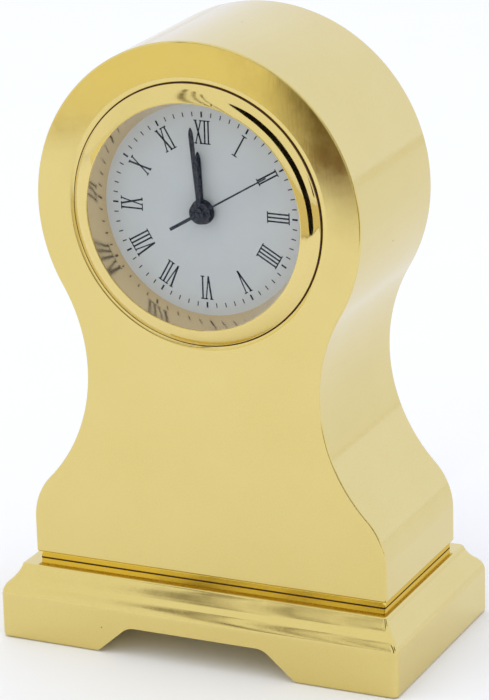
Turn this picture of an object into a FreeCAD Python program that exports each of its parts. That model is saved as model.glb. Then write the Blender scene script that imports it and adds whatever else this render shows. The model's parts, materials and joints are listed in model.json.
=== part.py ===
import FreeCAD, Part
import math
import os
import re
import Sketcher
from FreeCAD import Placement, Rotation, Vector

# Miniature waisted ("balloon") mantel clock: a solid brass case on a moulded bracket plinth, with a
# push-in quartz movement in the round head.
# Frame: millimetres, origin at the middle of the plinth's underside, +Z up, the dial faces -Y.
# Depths are measured from the case's front face towards the rear (+Y).

SIZES = {
    # waisted case
    "case_front_y": -8.7, "case_depth": 18.35,
    "dial_axis_z": 47.25, "arch_radius": 17.75,
    "waist_radius": 17.7, "waist_axis_z": 29.45,
    "flare_radius": 7.0, "case_foot_half": 19.85, "case_foot_z": 8.6,
    "neck_inset": 0.3, "edge_break": 0.12,
    "front_bore_radius": 12.6, "front_bore_depth": 10.0, "rear_window_radius": 11.2,
    # plinth
    "ledge_z": 7.9, "ledge_half_width": 20.66, "ledge_half_depth": 10.66, "ledge_edge": 0.15,
    "cove_reach": 1.05, "cove_drop": 1.7, "cove_radius": 3.4,
    "shoulder_reach": 0.69, "shoulder_drop": 1.49, "shoulder_radius": 1.95,
    "arch_height": 3.2, "arch_top_half": 6.9, "arch_shoulder_radius": 2.0, "arch_slope": 41.0,
    "foot_inner_half": 11.7, "foot_round": 1.0, "plinth_corner": 0.35, "cut_margin": 1.0,
    # plinth screws
    "case_screw_x": 5.0, "screw_shank": 0.98, "screw_hole": 1.0, "screw_head": 1.75,
    "screw_head_height": 1.3, "counterbore_radius": 1.9, "counterbore_z": 4.9,
    "screw_tip_z": 12.4, "screw_hole_top_z": 13.2, "plinth_screw_clearance": 1.1,
    "slot_width": 0.35, "slot_depth": 0.45, "slot_overrun": 1.5,
    # insert: bezel, crystal, cup
    "bezel_radius": 13.5, "bezel_bore": 11.66, "bezel_proud": 0.88, "bezel_lip": 0.09,
    "bezel_dome_radius": 3.25, "bezel_edge_height": 0.04,
    "spigot_outer": 12.0, "spigot_inner": 11.74, "spigot_length": 1.6,
    "crystal_front": -0.8, "crystal_back": -0.05,
    "ring_outer": 11.7, "ring_front_bore": 11.5, "ring_dial_bore": 10.95,
    "cup_outer": 12.3, "cup_front": 0.1, "cup_back": 9.3,
    "grip_outer": 12.56, "grip_front": 3.0, "grip_back": 6.4, "grip_rib": 0.45,
    "grip_band": 0.12,
    # dial
    "dial_front": 2.0, "dial_thickness": 0.35, "dial_radius": 11.65, "dial_hole": 0.8,
    # hands
    "hour_hand_depth": 1.6, "minute_hand_depth": 0.9, "second_hand_depth": 0.56,
    "hand_thickness": 0.13, "second_hand_thickness": 0.1,
    "hour_length": 6.15, "hour_hub": 1.3, "hour_root_half": 0.19, "hour_wide_half": 0.29,
    "minute_length": 8.78, "minute_hub": 1.12, "minute_root_half": 0.18, "minute_wide_half": 0.245,
    "hour_seat": 0.52, "minute_seat": 0.26,
    "blade_root": 0.3, "blade_point_length": 0.95, "blade_point_radius": 1.9, "blade_tip_half": 0.05,
    "second_length": 8.7, "second_tail": 3.65, "second_hub": 0.62, "second_tip_half": 0.07,
    "second_half": 0.11, "second_tail_half": 0.17, "second_tail_start": 1.0,
    # coaxial tubes and arbors
    "seconds_arbor": 0.14, "cannon_bore": 0.18, "cannon_outer": 0.36,
    "hour_tube_bore": 0.4, "hour_tube_outer": 0.62, "arbor": 0.13, "pivot": 0.09,
    "pivot_hole": 0.11, "pivot_length": 0.35,
    # plates
    "holder_inner": 10.25, "holder_outer": 11.95, "holder_front": 2.36, "holder_back": 8.6,
    "plate_radius": 10.2, "main_plate_front": 3.5, "main_plate_back": 4.3,
    "bridge_front": 6.6, "bridge_back": 7.05, "bridge_radius": 9.9, "coil_gap_half_x": 5.6,
    "coil_gap_half_y": 2.0, "coil_gap_lift": 0.6, "cell_gap": 0.15,
    "pillar_radius": 0.8, "pillar_a_x": 7.4, "pillar_a_y": 4.6, "pillar_b_x": -8.2,
    "pillar_b_y": -0.4, "pillar_c_x": 5.9, "pillar_c_y": -6.4,
    "bridge_tap": 0.4, "bridge_tap_depth": 1.6, "bridge_screw_clearance": 0.42,
    "bridge_screw_head": 0.72, "bridge_screw_head_height": 0.4, "bridge_screw_shank": 0.38,
    "bridge_screw_length": 1.9,
    # gear train: modules and levels
    "motion_module": 0.16, "seconds_module": 0.115, "rotor_module": 0.09,
    "third_module": 0.1, "centre_wheel_level": 4.65, "third_wheel_level": 5.2,
    "seconds_wheel_level": 5.7, "intermediate_wheel_level": 6.3, "wheel_thickness": 0.2,
    "pinion_length": 0.36, "hour_wheel_level": 2.82, "minute_wheel_level": 3.25,
    "end_shake": 0.03, "leaf_lead": 0.08, "leaf_margin": 0.05, "running_gap": 0.05,
    "shaft_gap": 0.04, "cannon_back": 4.75, "cannon_leaf_length": 0.34,
    "post_radius": 0.25, "post_bore": 0.27, "post_root": 3.9, "post_tip": 2.52,
    "washer_back": 2.6, "washer_radius": 1.7, "washer_thickness": 0.12,
    "third_x": 1.7, "third_y": 2.9445,
    "intermediate_x": -2.988, "intermediate_y": 1.725, "rotor_x": -5.422, "rotor_y": 2.377,
    "minute_wheel_x": 1.6, "minute_wheel_y": -2.7713, "setter_x": 1.6, "setter_y": -6.3713,
    # stepping motor
    "magnet_radius": 0.9, "magnet_front": 4.5, "magnet_back": 5.3, "stator_front": 4.45,
    "stator_thickness": 0.4, "stator_hole": 1.15, "stator_pole": 2.0,
    "coil_y": 7.3, "coil_left": -5.4, "coil_right": 3.4, "coil_radius": 0.86, "core_half": 0.45,
    "bobbin_bore_half": 0.46, "bobbin_tube": 0.68, "flange_radius": 0.94, "flange_width": 0.35,
    "core_tab": 0.9, "core_thickness": 0.9, "limb_y": 5.9, "limb_half": 0.25, "limb_lap": 0.05,
    "left_limb_out": 1.0, "left_limb_in": 0.1, "limb_root_x": 0.4, "limb_root_y": 1.0,
    "limb_elbow_x": 1.7, "limb_elbow_y": 0.6, "limb_step_x": 3.0, "limb_corner_x": 2.2,
    # electronics
    "board_front": 7.1, "board_thickness": 0.3, "board_left": 2.6, "board_right": 8.7,
    "board_foot": -4.6, "board_foot_x": 4.4, "board_side_low": -3.0, "board_side_high": 3.2,
    "board_notch_x": 5.9, "board_head_x": 5.4, "board_head": 5.4,
    "cell_x": -4.9, "cell_y": -4.0, "cell_radius": 3.4, "cell_front": 6.0, "cell_height": 2.6,
    "cell_cap_height": 0.4, "cell_cap_inset": 0.6, "contact_half_length": 2.0,
    "contact_half_width": 0.35, "contact_thickness": 0.12,
    "chip_x": 4.3, "chip_y": 2.2, "chip_half": 1.1, "chip_height": 0.55,
    "crystal_can_x": 6.2, "crystal_can_y": -1.6, "crystal_can_radius": 0.6,
    "crystal_can_half": 2.4,
    # back cover, hatch and set knob
    "cover_front": 8.7, "cover_back": 9.25, "cover_radius": 11.95, "hatch_radius": 3.9,
    "hatch_gap": 0.06, "setter_hole": 0.75, "setter_shaft": 0.68,
    "coin_slot_half_length": 2.2, "coin_slot_half_width": 0.32, "coin_slot_depth": 0.25,
    "knob_front": 9.5, "knob_back": 12.2, "knob_radius": 2.4, "knob_flute": 0.22,
    "knob_round": 0.5, "knob_chamfer": 0.3, "flute_offset": 0.08,
}

# derived positions, written once in terms of the driving sizes above
PLINTH_HALF_WIDTH = "ledge_half_width + cove_reach + shoulder_reach"
PLINTH_HALF_DEPTH = "ledge_half_depth + cove_reach + shoulder_reach"
FASCIA_TOP_Z = "ledge_z - cove_drop - shoulder_drop"
WAIST_X = "sqrt((arch_radius + waist_radius)^2 - (dial_axis_z - waist_axis_z)^2)"
FLARE_X = "(case_foot_half - flare_radius)"
FLARE_RISE = f"sqrt((waist_radius + flare_radius)^2 - ({WAIST_X} - {FLARE_X})^2)"
FLARE_Z = f"(waist_axis_z - {FLARE_RISE})"
ARCH_SHARE = "arch_radius / (arch_radius + waist_radius)"
FLARE_SHARE = "flare_radius / (flare_radius + waist_radius)"
ARBOR_FRONT = "(main_plate_back + end_shake)"
ARBOR_REAR = "(bridge_front - end_shake)"
SCREW_SPOTS = [
    ("pillar_a_x", "pillar_a_y"), ("pillar_b_x", "pillar_b_y"), ("pillar_c_x", "pillar_c_y"),
]

TEETH = {
    "rotor": 8, "intermediate": 48, "intermediate_pinion": 10, "seconds": 50,
    "seconds_pinion": 8, "third": 60, "third_pinion": 8, "centre": 64,
    "cannon": 10, "minute": 30, "minute_pinion": 8, "hour": 32, "setter": 15,
}
# the centre wheel and the third pinion share the seconds pinion's distance from the third wheel
CENTRE_MODULE = (f"(third_module * {TEETH['third'] + TEETH['seconds_pinion']}"
                 f" / {TEETH['centre'] + TEETH['third_pinion']})")
# a tooth's proportions, in modules
DEDENDUM, ADDENDUM, TOOTH_SUNK = 1.05, 0.75, 0.3
ROOT_HALF, PITCH_HALF, TIP_HALF = 0.8, 0.62, 0.28
GRIP_RIBS = 4
KNOB_FLUTES = 24
TINY = 1e-5
HAND_ANGLES = {"hour_hand": 3.3, "minute_hand": 4.8, "second_hand": -59.4}

doc = FreeCAD.newDocument("MantelClock")
sheet = doc.addObject("Spreadsheet::Sheet", "Sizes")
ALIAS_WORD = re.compile(r"\b(" + "|".join(sorted(SIZES, key=len, reverse=True)) + r")\b")


def fill_sheet():
    """One row per driving size: its name, its value and an alias for expressions."""
    for row, (name, value) in enumerate(SIZES.items(), start=1):
        sheet.set(f"A{row}", name)
        sheet.set(f"B{row}", str(value))
        sheet.setAlias(f"B{row}", name)
    doc.recompute()


def formula(text):
    """An expression in which each size name points at its cell."""
    return ALIAS_WORD.sub(r"Sizes.\1", str(text))


def value(text):
    return float(sheet.evalExpression(formula(text)))


def bind(obj, prop, text):
    obj.setExpression(prop, formula(text))


# ---------------------------------------------------------------- bodies and sketches

def body_at(label, depth="0", x="0", z="dial_axis_z", turn=0.0):
    """A body that faces forward: its local X is right, local Y is up and local Z points at the viewer.
    Its origin lies `depth` behind the case's front face."""
    body = doc.addObject("PartDesign::Body", label)
    body.Label = label
    facing = Rotation(Vector(1, 0, 0), 90) * Rotation(Vector(0, 0, 1), turn)
    body.Placement = Placement(Vector(0, 0, 0), facing)
    bind(body, "Placement.Base.x", x)
    bind(body, "Placement.Base.y", f"case_front_y + ({depth})")
    bind(body, "Placement.Base.z", z)
    return body


def beside_axis(label, depth, x, y, turn=0.0):
    """A forward-facing body whose own axis is offset (x, y) from the dial's axis."""
    return body_at(label, depth, x, f"dial_axis_z + ({y})", turn)


def upright_body(label):
    body = doc.addObject("PartDesign::Body", label)
    body.Label = label
    body.Placement = Placement(Vector(0, 0, 0), Rotation())
    return body


def sketch_on(body, name, plane="XY_Plane", offset="0"):
    sketch = body.newObject("Sketcher::SketchObject", f"{body.Name}_{name}_sketch")
    origin_plane = [f for f in body.Origin.OriginFeatures if f.Role == plane][0]
    sketch.AttachmentSupport = [(origin_plane, "")]
    sketch.MapMode = "FlatFace"
    bind(sketch, "AttachmentOffset.Base.z", offset)
    return sketch


def pin_point(sketch, geometry, point, x, y):
    """Holds a sketch point at (x, y), given as expressions."""
    for kind, axis, text in (("DistanceX", -2, x), ("DistanceY", -1, y)):
        distance = value(text)
        if abs(distance) < TINY:
            sketch.addConstraint(Sketcher.Constraint("PointOnObject", geometry, point, axis))
            continue
        index = sketch.addConstraint(Sketcher.Constraint(kind, -1, 1, geometry, point, distance))
        bind(sketch, f"Constraints[{index}]", text)


def add_circle(sketch, radius, x="0", y="0"):
    centre = Vector(value(x), value(y), 0)
    geometry = sketch.addGeometry(Part.Circle(centre, Vector(0, 0, 1), value(radius)), False)
    pin_point(sketch, geometry, 3, x, y)
    index = sketch.addConstraint(Sketcher.Constraint("Radius", geometry, value(radius)))
    bind(sketch, f"Constraints[{index}]", radius)


def arc_between(start, end, radius, bulge):
    """The arc between two points and whether it runs from start to end, as arcs run anticlockwise.
    A bulge of +1 lies to the left of the way from start to end, -1 to the right, and 2 or -2
    takes the long way round."""
    chord = end - start
    half = chord.Length / 2
    rise = math.sqrt(max(radius * radius - half * half, 0.0))
    side = Vector(-chord.y, chord.x, 0) / chord.Length * (1 if bulge > 0 else -1)
    centre = (start + end) / 2 - side * (rise if abs(bulge) == 1 else -rise)
    first, last = (end, start) if bulge > 0 else (start, end)
    angles = [math.atan2(p.y - centre.y, p.x - centre.x) for p in (first, last)]
    if angles[1] < angles[0]:
        angles[1] += 2 * math.pi
    circle = Part.Circle(centre, Vector(0, 0, 1), radius)
    return Part.ArcOfCircle(circle, *angles), bulge < 0


def add_outline(sketch, corners):
    """A closed outline. Each corner is (x, y) and is joined to the next by a straight line, or
    (x, y, radius, bulge) and is joined to the next by an arc."""
    points = [Vector(value(c[0]), value(c[1]), 0) for c in corners]
    ends = []
    for index, corner in enumerate(corners):
        start, end = points[index], points[(index + 1) % len(points)]
        if len(corner) == 2:
            geometry = sketch.addGeometry(Part.LineSegment(start, end), False)
            ends.append((geometry, 1, 2))
            continue
        arc, forward = arc_between(start, end, value(corner[2]), corner[3])
        geometry = sketch.addGeometry(arc, False)
        ends.append((geometry, 1, 2) if forward else (geometry, 2, 1))
    for index, corner in enumerate(corners):
        geometry, first, last = ends[index]
        following, follow_first, _ = ends[(index + 1) % len(ends)]
        sketch.addConstraint(
            Sketcher.Constraint("Coincident", geometry, last, following, follow_first))
        pin_point(sketch, geometry, first, corner[0], corner[1])
        if len(corner) == 4:
            radius = sketch.addConstraint(
                Sketcher.Constraint("Radius", geometry, value(corner[2])))
            bind(sketch, f"Constraints[{radius}]", corner[2])


def pad(body, sketch, length, midplane=False):
    feature = body.newObject("PartDesign::Pad", f"{sketch.Name}_pad")
    feature.Profile = sketch
    bind(feature, "Length", length)
    feature.Midplane = midplane
    return feature


def pocket(body, sketch, length=None, reverse=False):
    """A cut along the sketch's own normal when `reverse` is set, and against it otherwise.
    With no length it goes through everything, both ways."""
    feature = body.newObject("PartDesign::Pocket", f"{sketch.Name}_pocket")
    feature.Profile = sketch
    if length is None:
        feature.Type = "ThroughAll"
        feature.Midplane = True
        return feature
    bind(feature, "Length", length)
    feature.Reversed = reverse
    return feature


def disc(body, name, radius, start, thickness, bore=None, x="0", y="0"):
    """A round pad of the given thickness towards the viewer, from `start` along the body's Z."""
    sketch = sketch_on(body, name, offset=start)
    add_circle(sketch, radius, x, y)
    if bore is not None:
        add_circle(sketch, bore, x, y)
    return pad(body, sketch, thickness)


def plate(body, name, corners, start, thickness):
    sketch = sketch_on(body, name, offset=start)
    add_outline(sketch, corners)
    return pad(body, sketch, thickness)


def holes(body, name, spots):
    """Round holes right through a forward-facing body: (radius, x, y) each."""
    sketch = sketch_on(body, name)
    for radius, x, y in spots:
        add_circle(sketch, radius, x, y)
    return pocket(body, sketch)


def revolve(body, name, corners):
    """A turned solid about the body's own Z from an outline of (radius, height) corners."""
    sketch = sketch_on(body, name, plane="XZ_Plane")
    add_outline(sketch, corners)
    feature = body.newObject("PartDesign::Revolution", f"{sketch.Name}_turned")
    feature.Profile = sketch
    feature.ReferenceAxis = (sketch, ["V_Axis"])
    feature.Angle = 360
    return feature


def polar(body, feature, sketch, count):
    pattern = body.newObject("PartDesign::PolarPattern", f"{feature.Name}_ring")
    pattern.Originals = [feature]
    pattern.Axis = (sketch, ["N_Axis"])
    pattern.Angle = 360
    pattern.Occurrences = count
    body.Tip = pattern
    return pattern


def rectangle(half_width, half_height, x="0", y="0"):
    return [
        (f"({x}) - ({half_width})", f"({y}) - ({half_height})"),
        (f"({x}) + ({half_width})", f"({y}) - ({half_height})"),
        (f"({x}) + ({half_width})", f"({y}) + ({half_height})"),
        (f"({x}) - ({half_width})", f"({y}) + ({half_height})"),
    ]


def toothed_wheel(body, name, teeth, module, start, thickness, bore=None):
    """A spur wheel: a blank at the root circle and one tooth, repeated round it."""
    root = f"{module} * {teeth / 2 - DEDENDUM}"
    disc(body, f"{name}_blank", root, start, thickness, bore)
    sketch = sketch_on(body, f"{name}_tooth", offset=start)
    sunk = f"({root} - {TOOTH_SUNK} * {module})"
    pitch = f"{module} * {teeth / 2}"
    tip = f"{module} * {teeth / 2 + ADDENDUM}"
    add_outline(sketch, [
        (f"-{ROOT_HALF} * {module}", sunk),
        (f"{ROOT_HALF} * {module}", sunk),
        (f"{PITCH_HALF} * {module}", pitch),
        (f"{TIP_HALF} * {module}", tip),
        (f"-{TIP_HALF} * {module}", tip),
        (f"-{PITCH_HALF} * {module}", pitch),
    ])
    polar(body, pad(body, sketch, thickness), sketch, teeth)


# ---------------------------------------------------------------- gear phases

def direction(x, y):
    """The angle of (x, y) from straight up, anticlockwise, in degrees."""
    return math.degrees(math.atan2(value(y), value(x))) - 90


def meshed_phase(driver_phase, driver_teeth, teeth, towards):
    """How far a wheel is turned so that a gap meets its neighbour's tooth. `towards` is the
    direction from the neighbour to this wheel."""
    return towards + 180 + 180 / teeth - (driver_phase - towards) * driver_teeth / teeth


def gear_phases():
    third = direction("third_x", "third_y")
    intermediate = direction("intermediate_x", "intermediate_y")
    rotor = direction("rotor_x - intermediate_x", "rotor_y - intermediate_y")
    minute = direction("minute_wheel_x", "minute_wheel_y")
    setter = direction("setter_x - minute_wheel_x", "setter_y - minute_wheel_y")
    phase = {"seconds": 0.0, "seconds_pinion": 0.0, "cannon": 0.0, "hour": 0.0}
    phase["third"] = meshed_phase(0.0, TEETH["seconds_pinion"], TEETH["third"], third)
    phase["third_pinion"] = phase["third"]
    phase["centre"] = meshed_phase(
        phase["third_pinion"], TEETH["third_pinion"], TEETH["centre"], third + 180)
    phase["intermediate_pinion"] = meshed_phase(
        0.0, TEETH["seconds"], TEETH["intermediate_pinion"], intermediate)
    phase["intermediate"] = phase["intermediate_pinion"]
    phase["rotor"] = meshed_phase(
        phase["intermediate"], TEETH["intermediate"], TEETH["rotor"], rotor)
    phase["minute"] = meshed_phase(0.0, TEETH["cannon"], TEETH["minute"], minute)
    phase["minute_pinion"] = phase["minute"]
    phase["hour"] = meshed_phase(
        phase["minute_pinion"], TEETH["minute_pinion"], TEETH["hour"], minute + 180)
    phase["setter"] = meshed_phase(phase["minute"], TEETH["minute"], TEETH["setter"], setter)
    return phase


# ---------------------------------------------------------------- case and plinth

def make_case_body():
    """The waisted brass block: round head, hollow waist, flared foot, with a stepped bore."""
    body = body_at("case_body", depth="case_depth", z="0")
    arch_x = f"{WAIST_X} * {ARCH_SHARE}"
    arch_z = f"dial_axis_z - (dial_axis_z - waist_axis_z) * {ARCH_SHARE}"
    hip_x = f"{FLARE_X} + ({WAIST_X} - {FLARE_X}) * {FLARE_SHARE}"
    hip_z = f"{FLARE_Z} + {FLARE_RISE} * {FLARE_SHARE}"
    sketch = sketch_on(body, "outline")
    add_outline(sketch, [
        ("case_foot_half", "case_foot_z"),
        ("case_foot_half", FLARE_Z, "flare_radius", -1),
        (hip_x, hip_z, "waist_radius", 1),
        (arch_x, arch_z, "arch_radius", -2),
        (f"-{arch_x}", arch_z, "waist_radius", 1),
        (f"-({hip_x})", hip_z, "flare_radius", -1),
        ("-case_foot_half", FLARE_Z),
        ("-case_foot_half", "case_foot_z"),
    ])
    block = pad(body, sketch, "case_depth")
    doc.recompute()
    # the two long edges of the outline are broken by a hair
    rims = [f"Edge{n}" for n, edge in enumerate(block.Shape.Edges, start=1)
            if max(abs(v.Point.z - edge.Vertexes[0].Point.z) for v in edge.Vertexes) < TINY
            and edge.BoundBox.YMax > value("case_foot_z + edge_break")]
    broken = body.newObject("PartDesign::Chamfer", "case_edges")
    broken.Base = (block, rims)
    bind(broken, "Size", "edge_break")
    neck = sketch_on(body, "neck", plane="XZ_Plane", offset="-case_foot_z")
    add_outline(neck, rectangle("case_foot_half - neck_inset", "case_depth / 2 - neck_inset",
                                y="case_depth / 2"))
    pad(body, neck, "case_foot_z - ledge_z")
    front = sketch_on(body, "front_bore", offset="case_depth")
    add_circle(front, "front_bore_radius", y="dial_axis_z")
    pocket(body, front, "front_bore_depth")
    window = sketch_on(body, "rear_window")
    add_circle(window, "rear_window_radius", y="dial_axis_z")
    pocket(body, window, "case_depth - front_bore_depth", reverse=True)
    taps = sketch_on(body, "screw_taps", plane="XZ_Plane", offset="-ledge_z")
    for x in ("case_screw_x", "-case_screw_x"):
        add_circle(taps, "screw_hole", x, "case_depth + case_front_y")
    pocket(body, taps, "screw_hole_top_z - ledge_z")
    return body


def moulding(ledge, outer, side):
    """The moulding from the ledge down to the fascia: a small flat, a hollow and a shoulder."""
    sign = "" if side > 0 else "-"
    return [
        (f"{sign}({ledge})", "ledge_z"),
        (f"{sign}({ledge})", "ledge_z - ledge_edge", "cove_radius", -side),
        (f"{sign}({ledge} + cove_reach)", "ledge_z - cove_drop", "shoulder_radius", side),
        (f"{sign}({outer})", FASCIA_TOP_Z),
    ]


def back_along(points):
    """The same outline walked the other way: an arc belongs to the corner it starts from."""
    turned = []
    for index in range(len(points) - 1, -1, -1):
        arc = points[index - 1][2:] if index else ()
        turned.append(points[index][:2] + ((arc[0], -arc[1]) if arc else ()))
    return turned


def bracket_arch():
    """The shallow arch cut under the front and back, from the right foot to the left one."""
    fall = "arch_shoulder_radius * (1 - cos(arch_slope))"
    right = [
        ("foot_inner_half", "0", "foot_round", -1),
        ("foot_inner_half - foot_round * sin(arch_slope)", "foot_round * (1 - cos(arch_slope))"),
        ("arch_top_half + arch_shoulder_radius * sin(arch_slope)", f"arch_height - {fall}",
         "arch_shoulder_radius", 1),
        ("arch_top_half", "arch_height"),
    ]
    toe, toe_end, shoulder, crown = [(f"-({point[0]})", point[1]) for point in right]
    return right + [
        (*crown, "arch_shoulder_radius", 1),
        shoulder,
        (*toe_end, "foot_round", -1),
        toe,
    ]


def make_plinth():
    """A moulded bracket plinth. The front outline is carried through its depth, then the same
    moulding is cut along the front and back so that the corners mitre."""
    body = upright_body("plinth")
    front = sketch_on(body, "front", plane="XZ_Plane")
    right = moulding("ledge_half_width", PLINTH_HALF_WIDTH, 1)
    left = moulding("ledge_half_width", PLINTH_HALF_WIDTH, -1)
    outline = [(PLINTH_HALF_WIDTH, "0")] + bracket_arch()
    outline += [(f"-({PLINTH_HALF_WIDTH})", "0")]
    outline += back_along(left) + right
    add_outline(front, outline)
    pad(body, front, f"2 * ({PLINTH_HALF_DEPTH})", midplane=True)
    side = sketch_on(body, "side", plane="YZ_Plane")
    for sign in (1, -1):
        mark = "" if sign > 0 else "-"
        outside = f"{mark}({PLINTH_HALF_DEPTH} + cut_margin)"
        waste = moulding("ledge_half_depth", PLINTH_HALF_DEPTH, sign)
        waste += [(outside, FASCIA_TOP_Z), (outside, "ledge_z + cut_margin"),
                  (f"{mark}(ledge_half_depth)", "ledge_z + cut_margin")]
        add_outline(side, waste)
    pocket(body, side)
    wells = sketch_on(body, "screw_wells", plane="XY_Plane")
    for x in ("case_screw_x", "-case_screw_x"):
        add_circle(wells, "counterbore_radius", x)
    pocket(body, wells, "counterbore_z", reverse=True)
    shanks = sketch_on(body, "screw_shanks", plane="XY_Plane")
    for x in ("case_screw_x", "-case_screw_x"):
        add_circle(shanks, "plinth_screw_clearance", x)
    bored = pocket(body, shanks)
    doc.recompute()
    half_width = value(PLINTH_HALF_WIDTH)
    corners = [f"Edge{n}" for n, edge in enumerate(bored.Shape.Edges, start=1)
               if len(edge.Vertexes) == 2
               and abs(edge.BoundBox.XMin - edge.BoundBox.XMax) < TINY
               and abs(edge.BoundBox.YMin - edge.BoundBox.YMax) < TINY
               and abs(abs(edge.BoundBox.XMin) - half_width) < TINY]
    eased = body.newObject("PartDesign::Chamfer", "plinth_corners")
    eased.Base = (bored, corners)
    bind(eased, "Size", "plinth_corner")
    return body


def make_screw(name, head_radius, head_height, shank_radius, shank_length):
    """A slotted cheese-head screw that points along +Z from its head's underside."""
    head = doc.addObject("Part::Cylinder", f"{name}_head")
    bind(head, "Radius", head_radius)
    bind(head, "Height", head_height)
    bind(head, "Placement.Base.z", f"-({head_height})")
    shank = doc.addObject("Part::Cylinder", f"{name}_shank")
    bind(shank, "Radius", shank_radius)
    bind(shank, "Height", shank_length)
    whole = doc.addObject("Part::Fuse", f"{name}_blank")
    whole.Base, whole.Tool = head, shank
    slot = doc.addObject("Part::Box", f"{name}_slot")
    bind(slot, "Length", f"2 * slot_overrun * ({head_radius})")
    bind(slot, "Width", "slot_width")
    bind(slot, "Height", "slot_depth")
    bind(slot, "Placement.Base.x", f"-slot_overrun * ({head_radius})")
    bind(slot, "Placement.Base.y", "-slot_width / 2")
    bind(slot, "Placement.Base.z", f"-({head_height})")
    screw = doc.addObject("Part::Cut", name)
    screw.Base, screw.Tool = whole, slot
    return screw


def make_screws(label, screw, spots, rotation):
    """Copies of one screw at each spot, kept together as a group of separate solids."""
    doc.recompute()
    group = doc.addObject("Part::Feature", label)
    copies = []
    for x, y, z in spots:
        copy = screw.Shape.copy()
        copy.Placement = Placement(Vector(value(x), value(y), value(z)), rotation)
        copies.append(copy)
    group.Shape = Part.makeCompound(copies)
    group.Label = label
    group.Placement = Placement(Vector(0, 0, 0), Rotation())
    return group


def make_case_screws():
    screw = make_screw("case_screw", "screw_head", "screw_head_height", "screw_shank",
                       "screw_tip_z - counterbore_z")
    spots = [("case_screw_x", "0", "counterbore_z"), ("-case_screw_x", "0", "counterbore_z")]
    return make_screws("case_screws", screw, spots, Rotation())


# ---------------------------------------------------------------- insert shell

def make_bezel():
    """The polished bezel: a low dome up to a thin lip, and the spigot that presses into the cup."""
    body = body_at("bezel")
    revolve(body, "section", [
        ("bezel_radius", "0"),
        ("bezel_radius", "bezel_edge_height", "bezel_dome_radius", -1),
        ("bezel_bore + bezel_lip", "bezel_proud"),
        ("bezel_bore", "bezel_proud - bezel_lip"),
        ("bezel_bore", "-crystal_back"),
        ("spigot_inner", "-crystal_back"),
        ("spigot_inner", "-spigot_length"),
        ("spigot_outer", "-spigot_length"),
        ("spigot_outer", "0"),
    ])
    return body


def make_crystal():
    body = body_at("crystal", depth="crystal_back")
    disc(body, "pane", "bezel_bore", "0", "crystal_back - crystal_front")
    return body


def make_dial_ring():
    """The polished conical wall between the crystal and the dial."""
    body = body_at("dial_ring", depth="dial_front")
    revolve(body, "section", [
        ("ring_dial_bore", "0"),
        ("ring_outer", "0"),
        ("ring_outer", "dial_front - crystal_back"),
        ("ring_front_bore", "dial_front - crystal_back"),
    ])
    return body


def make_dial():
    body = body_at("dial", depth="dial_front + dial_thickness")
    disc(body, "face", "dial_radius", "0", "dial_thickness", bore="dial_hole")
    return body


def make_insert_cup():
    body = body_at("insert_cup", depth="cup_back")
    disc(body, "wall", "cup_outer", "0", "cup_back - cup_front", bore="spigot_outer")
    return body


def make_grip_ring():
    """The ribbed rubber band that holds the insert in the case's bore."""
    body = body_at("grip_ring", depth="grip_back")
    rib_pitch = f"(grip_back - grip_front - grip_rib) / {GRIP_RIBS - 1}"
    disc(body, "band", "cup_outer + grip_band", "0", "grip_back - grip_front", bore="cup_outer")
    for rib in range(GRIP_RIBS):
        disc(body, f"rib{rib}", "grip_outer", f"{rib} * {rib_pitch}", "grip_rib",
             bore="cup_outer + grip_band / 2")
    return body


def make_back_cover():
    """The insert's rear plate, with the hatch's opening and the setting shaft's hole."""
    body = body_at("back_cover", depth="cover_back")
    disc(body, "plate", "cover_radius", "0", "cover_back - cover_front")
    holes(body, "openings", [
        ("hatch_radius + hatch_gap", "cell_x", "cell_y"),
        ("setter_hole", "setter_x", "setter_y"),
    ])
    return body


def make_battery_hatch():
    """The round hatch over the cell, with a coin slot in its outer face."""
    body = beside_axis("battery_hatch", "cover_back", "cell_x", "cell_y")
    disc(body, "plate", "hatch_radius", "0", "cover_back - cover_front")
    slot = sketch_on(body, "coin_slot")
    add_outline(slot, rectangle("coin_slot_half_length", "coin_slot_half_width"))
    pocket(body, slot, "coin_slot_depth", reverse=True)
    return body


def make_set_knob():
    """The knurled setting knob behind the insert."""
    body = beside_axis("set_knob", "knob_back", "setter_x", "setter_y")
    revolve(body, "section", [
        ("0", "0"),
        ("knob_radius - knob_round", "0", "knob_round", 1),
        ("knob_radius", "knob_round"),
        ("knob_radius", "knob_back - knob_front - knob_chamfer"),
        ("knob_radius - knob_chamfer", "knob_back - knob_front"),
        ("0", "knob_back - knob_front"),
    ])
    flute = sketch_on(body, "flute")
    add_circle(flute, "knob_flute", "0", "knob_radius + flute_offset")
    polar(body, pocket(body, flute), flute, KNOB_FLUTES)
    return body


# ---------------------------------------------------------------- hands

def lance(root_half, wide_half, length):
    """A slim hand that widens a little towards a rounded point."""
    shoulder = f"{length} - blade_point_length"
    return [
        (f"-{root_half}", "blade_root"),
        (root_half, "blade_root"),
        (wide_half, shoulder, "blade_point_radius", -1),
        ("blade_tip_half", length),
        ("-blade_tip_half", length, "blade_point_radius", -1),
        (f"-{wide_half}", shoulder),
    ]


def make_hour_hand():
    body = body_at("hour_hand", "hour_hand_depth", turn=HAND_ANGLES["hour_hand"])
    disc(body, "hub", "hour_hub", "0", "hand_thickness")
    plate(body, "blade", lance("hour_root_half", "hour_wide_half", "hour_length"), "0",
          "hand_thickness")
    holes(body, "eye", [("hour_seat", "0", "0")])
    return body


def make_minute_hand():
    body = body_at("minute_hand", "minute_hand_depth", turn=HAND_ANGLES["minute_hand"])
    disc(body, "hub", "minute_hub", "0", "hand_thickness")
    plate(body, "blade", lance("minute_root_half", "minute_wide_half", "minute_length"), "0",
          "hand_thickness")
    holes(body, "eye", [("minute_seat", "0", "0")])
    return body


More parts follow.
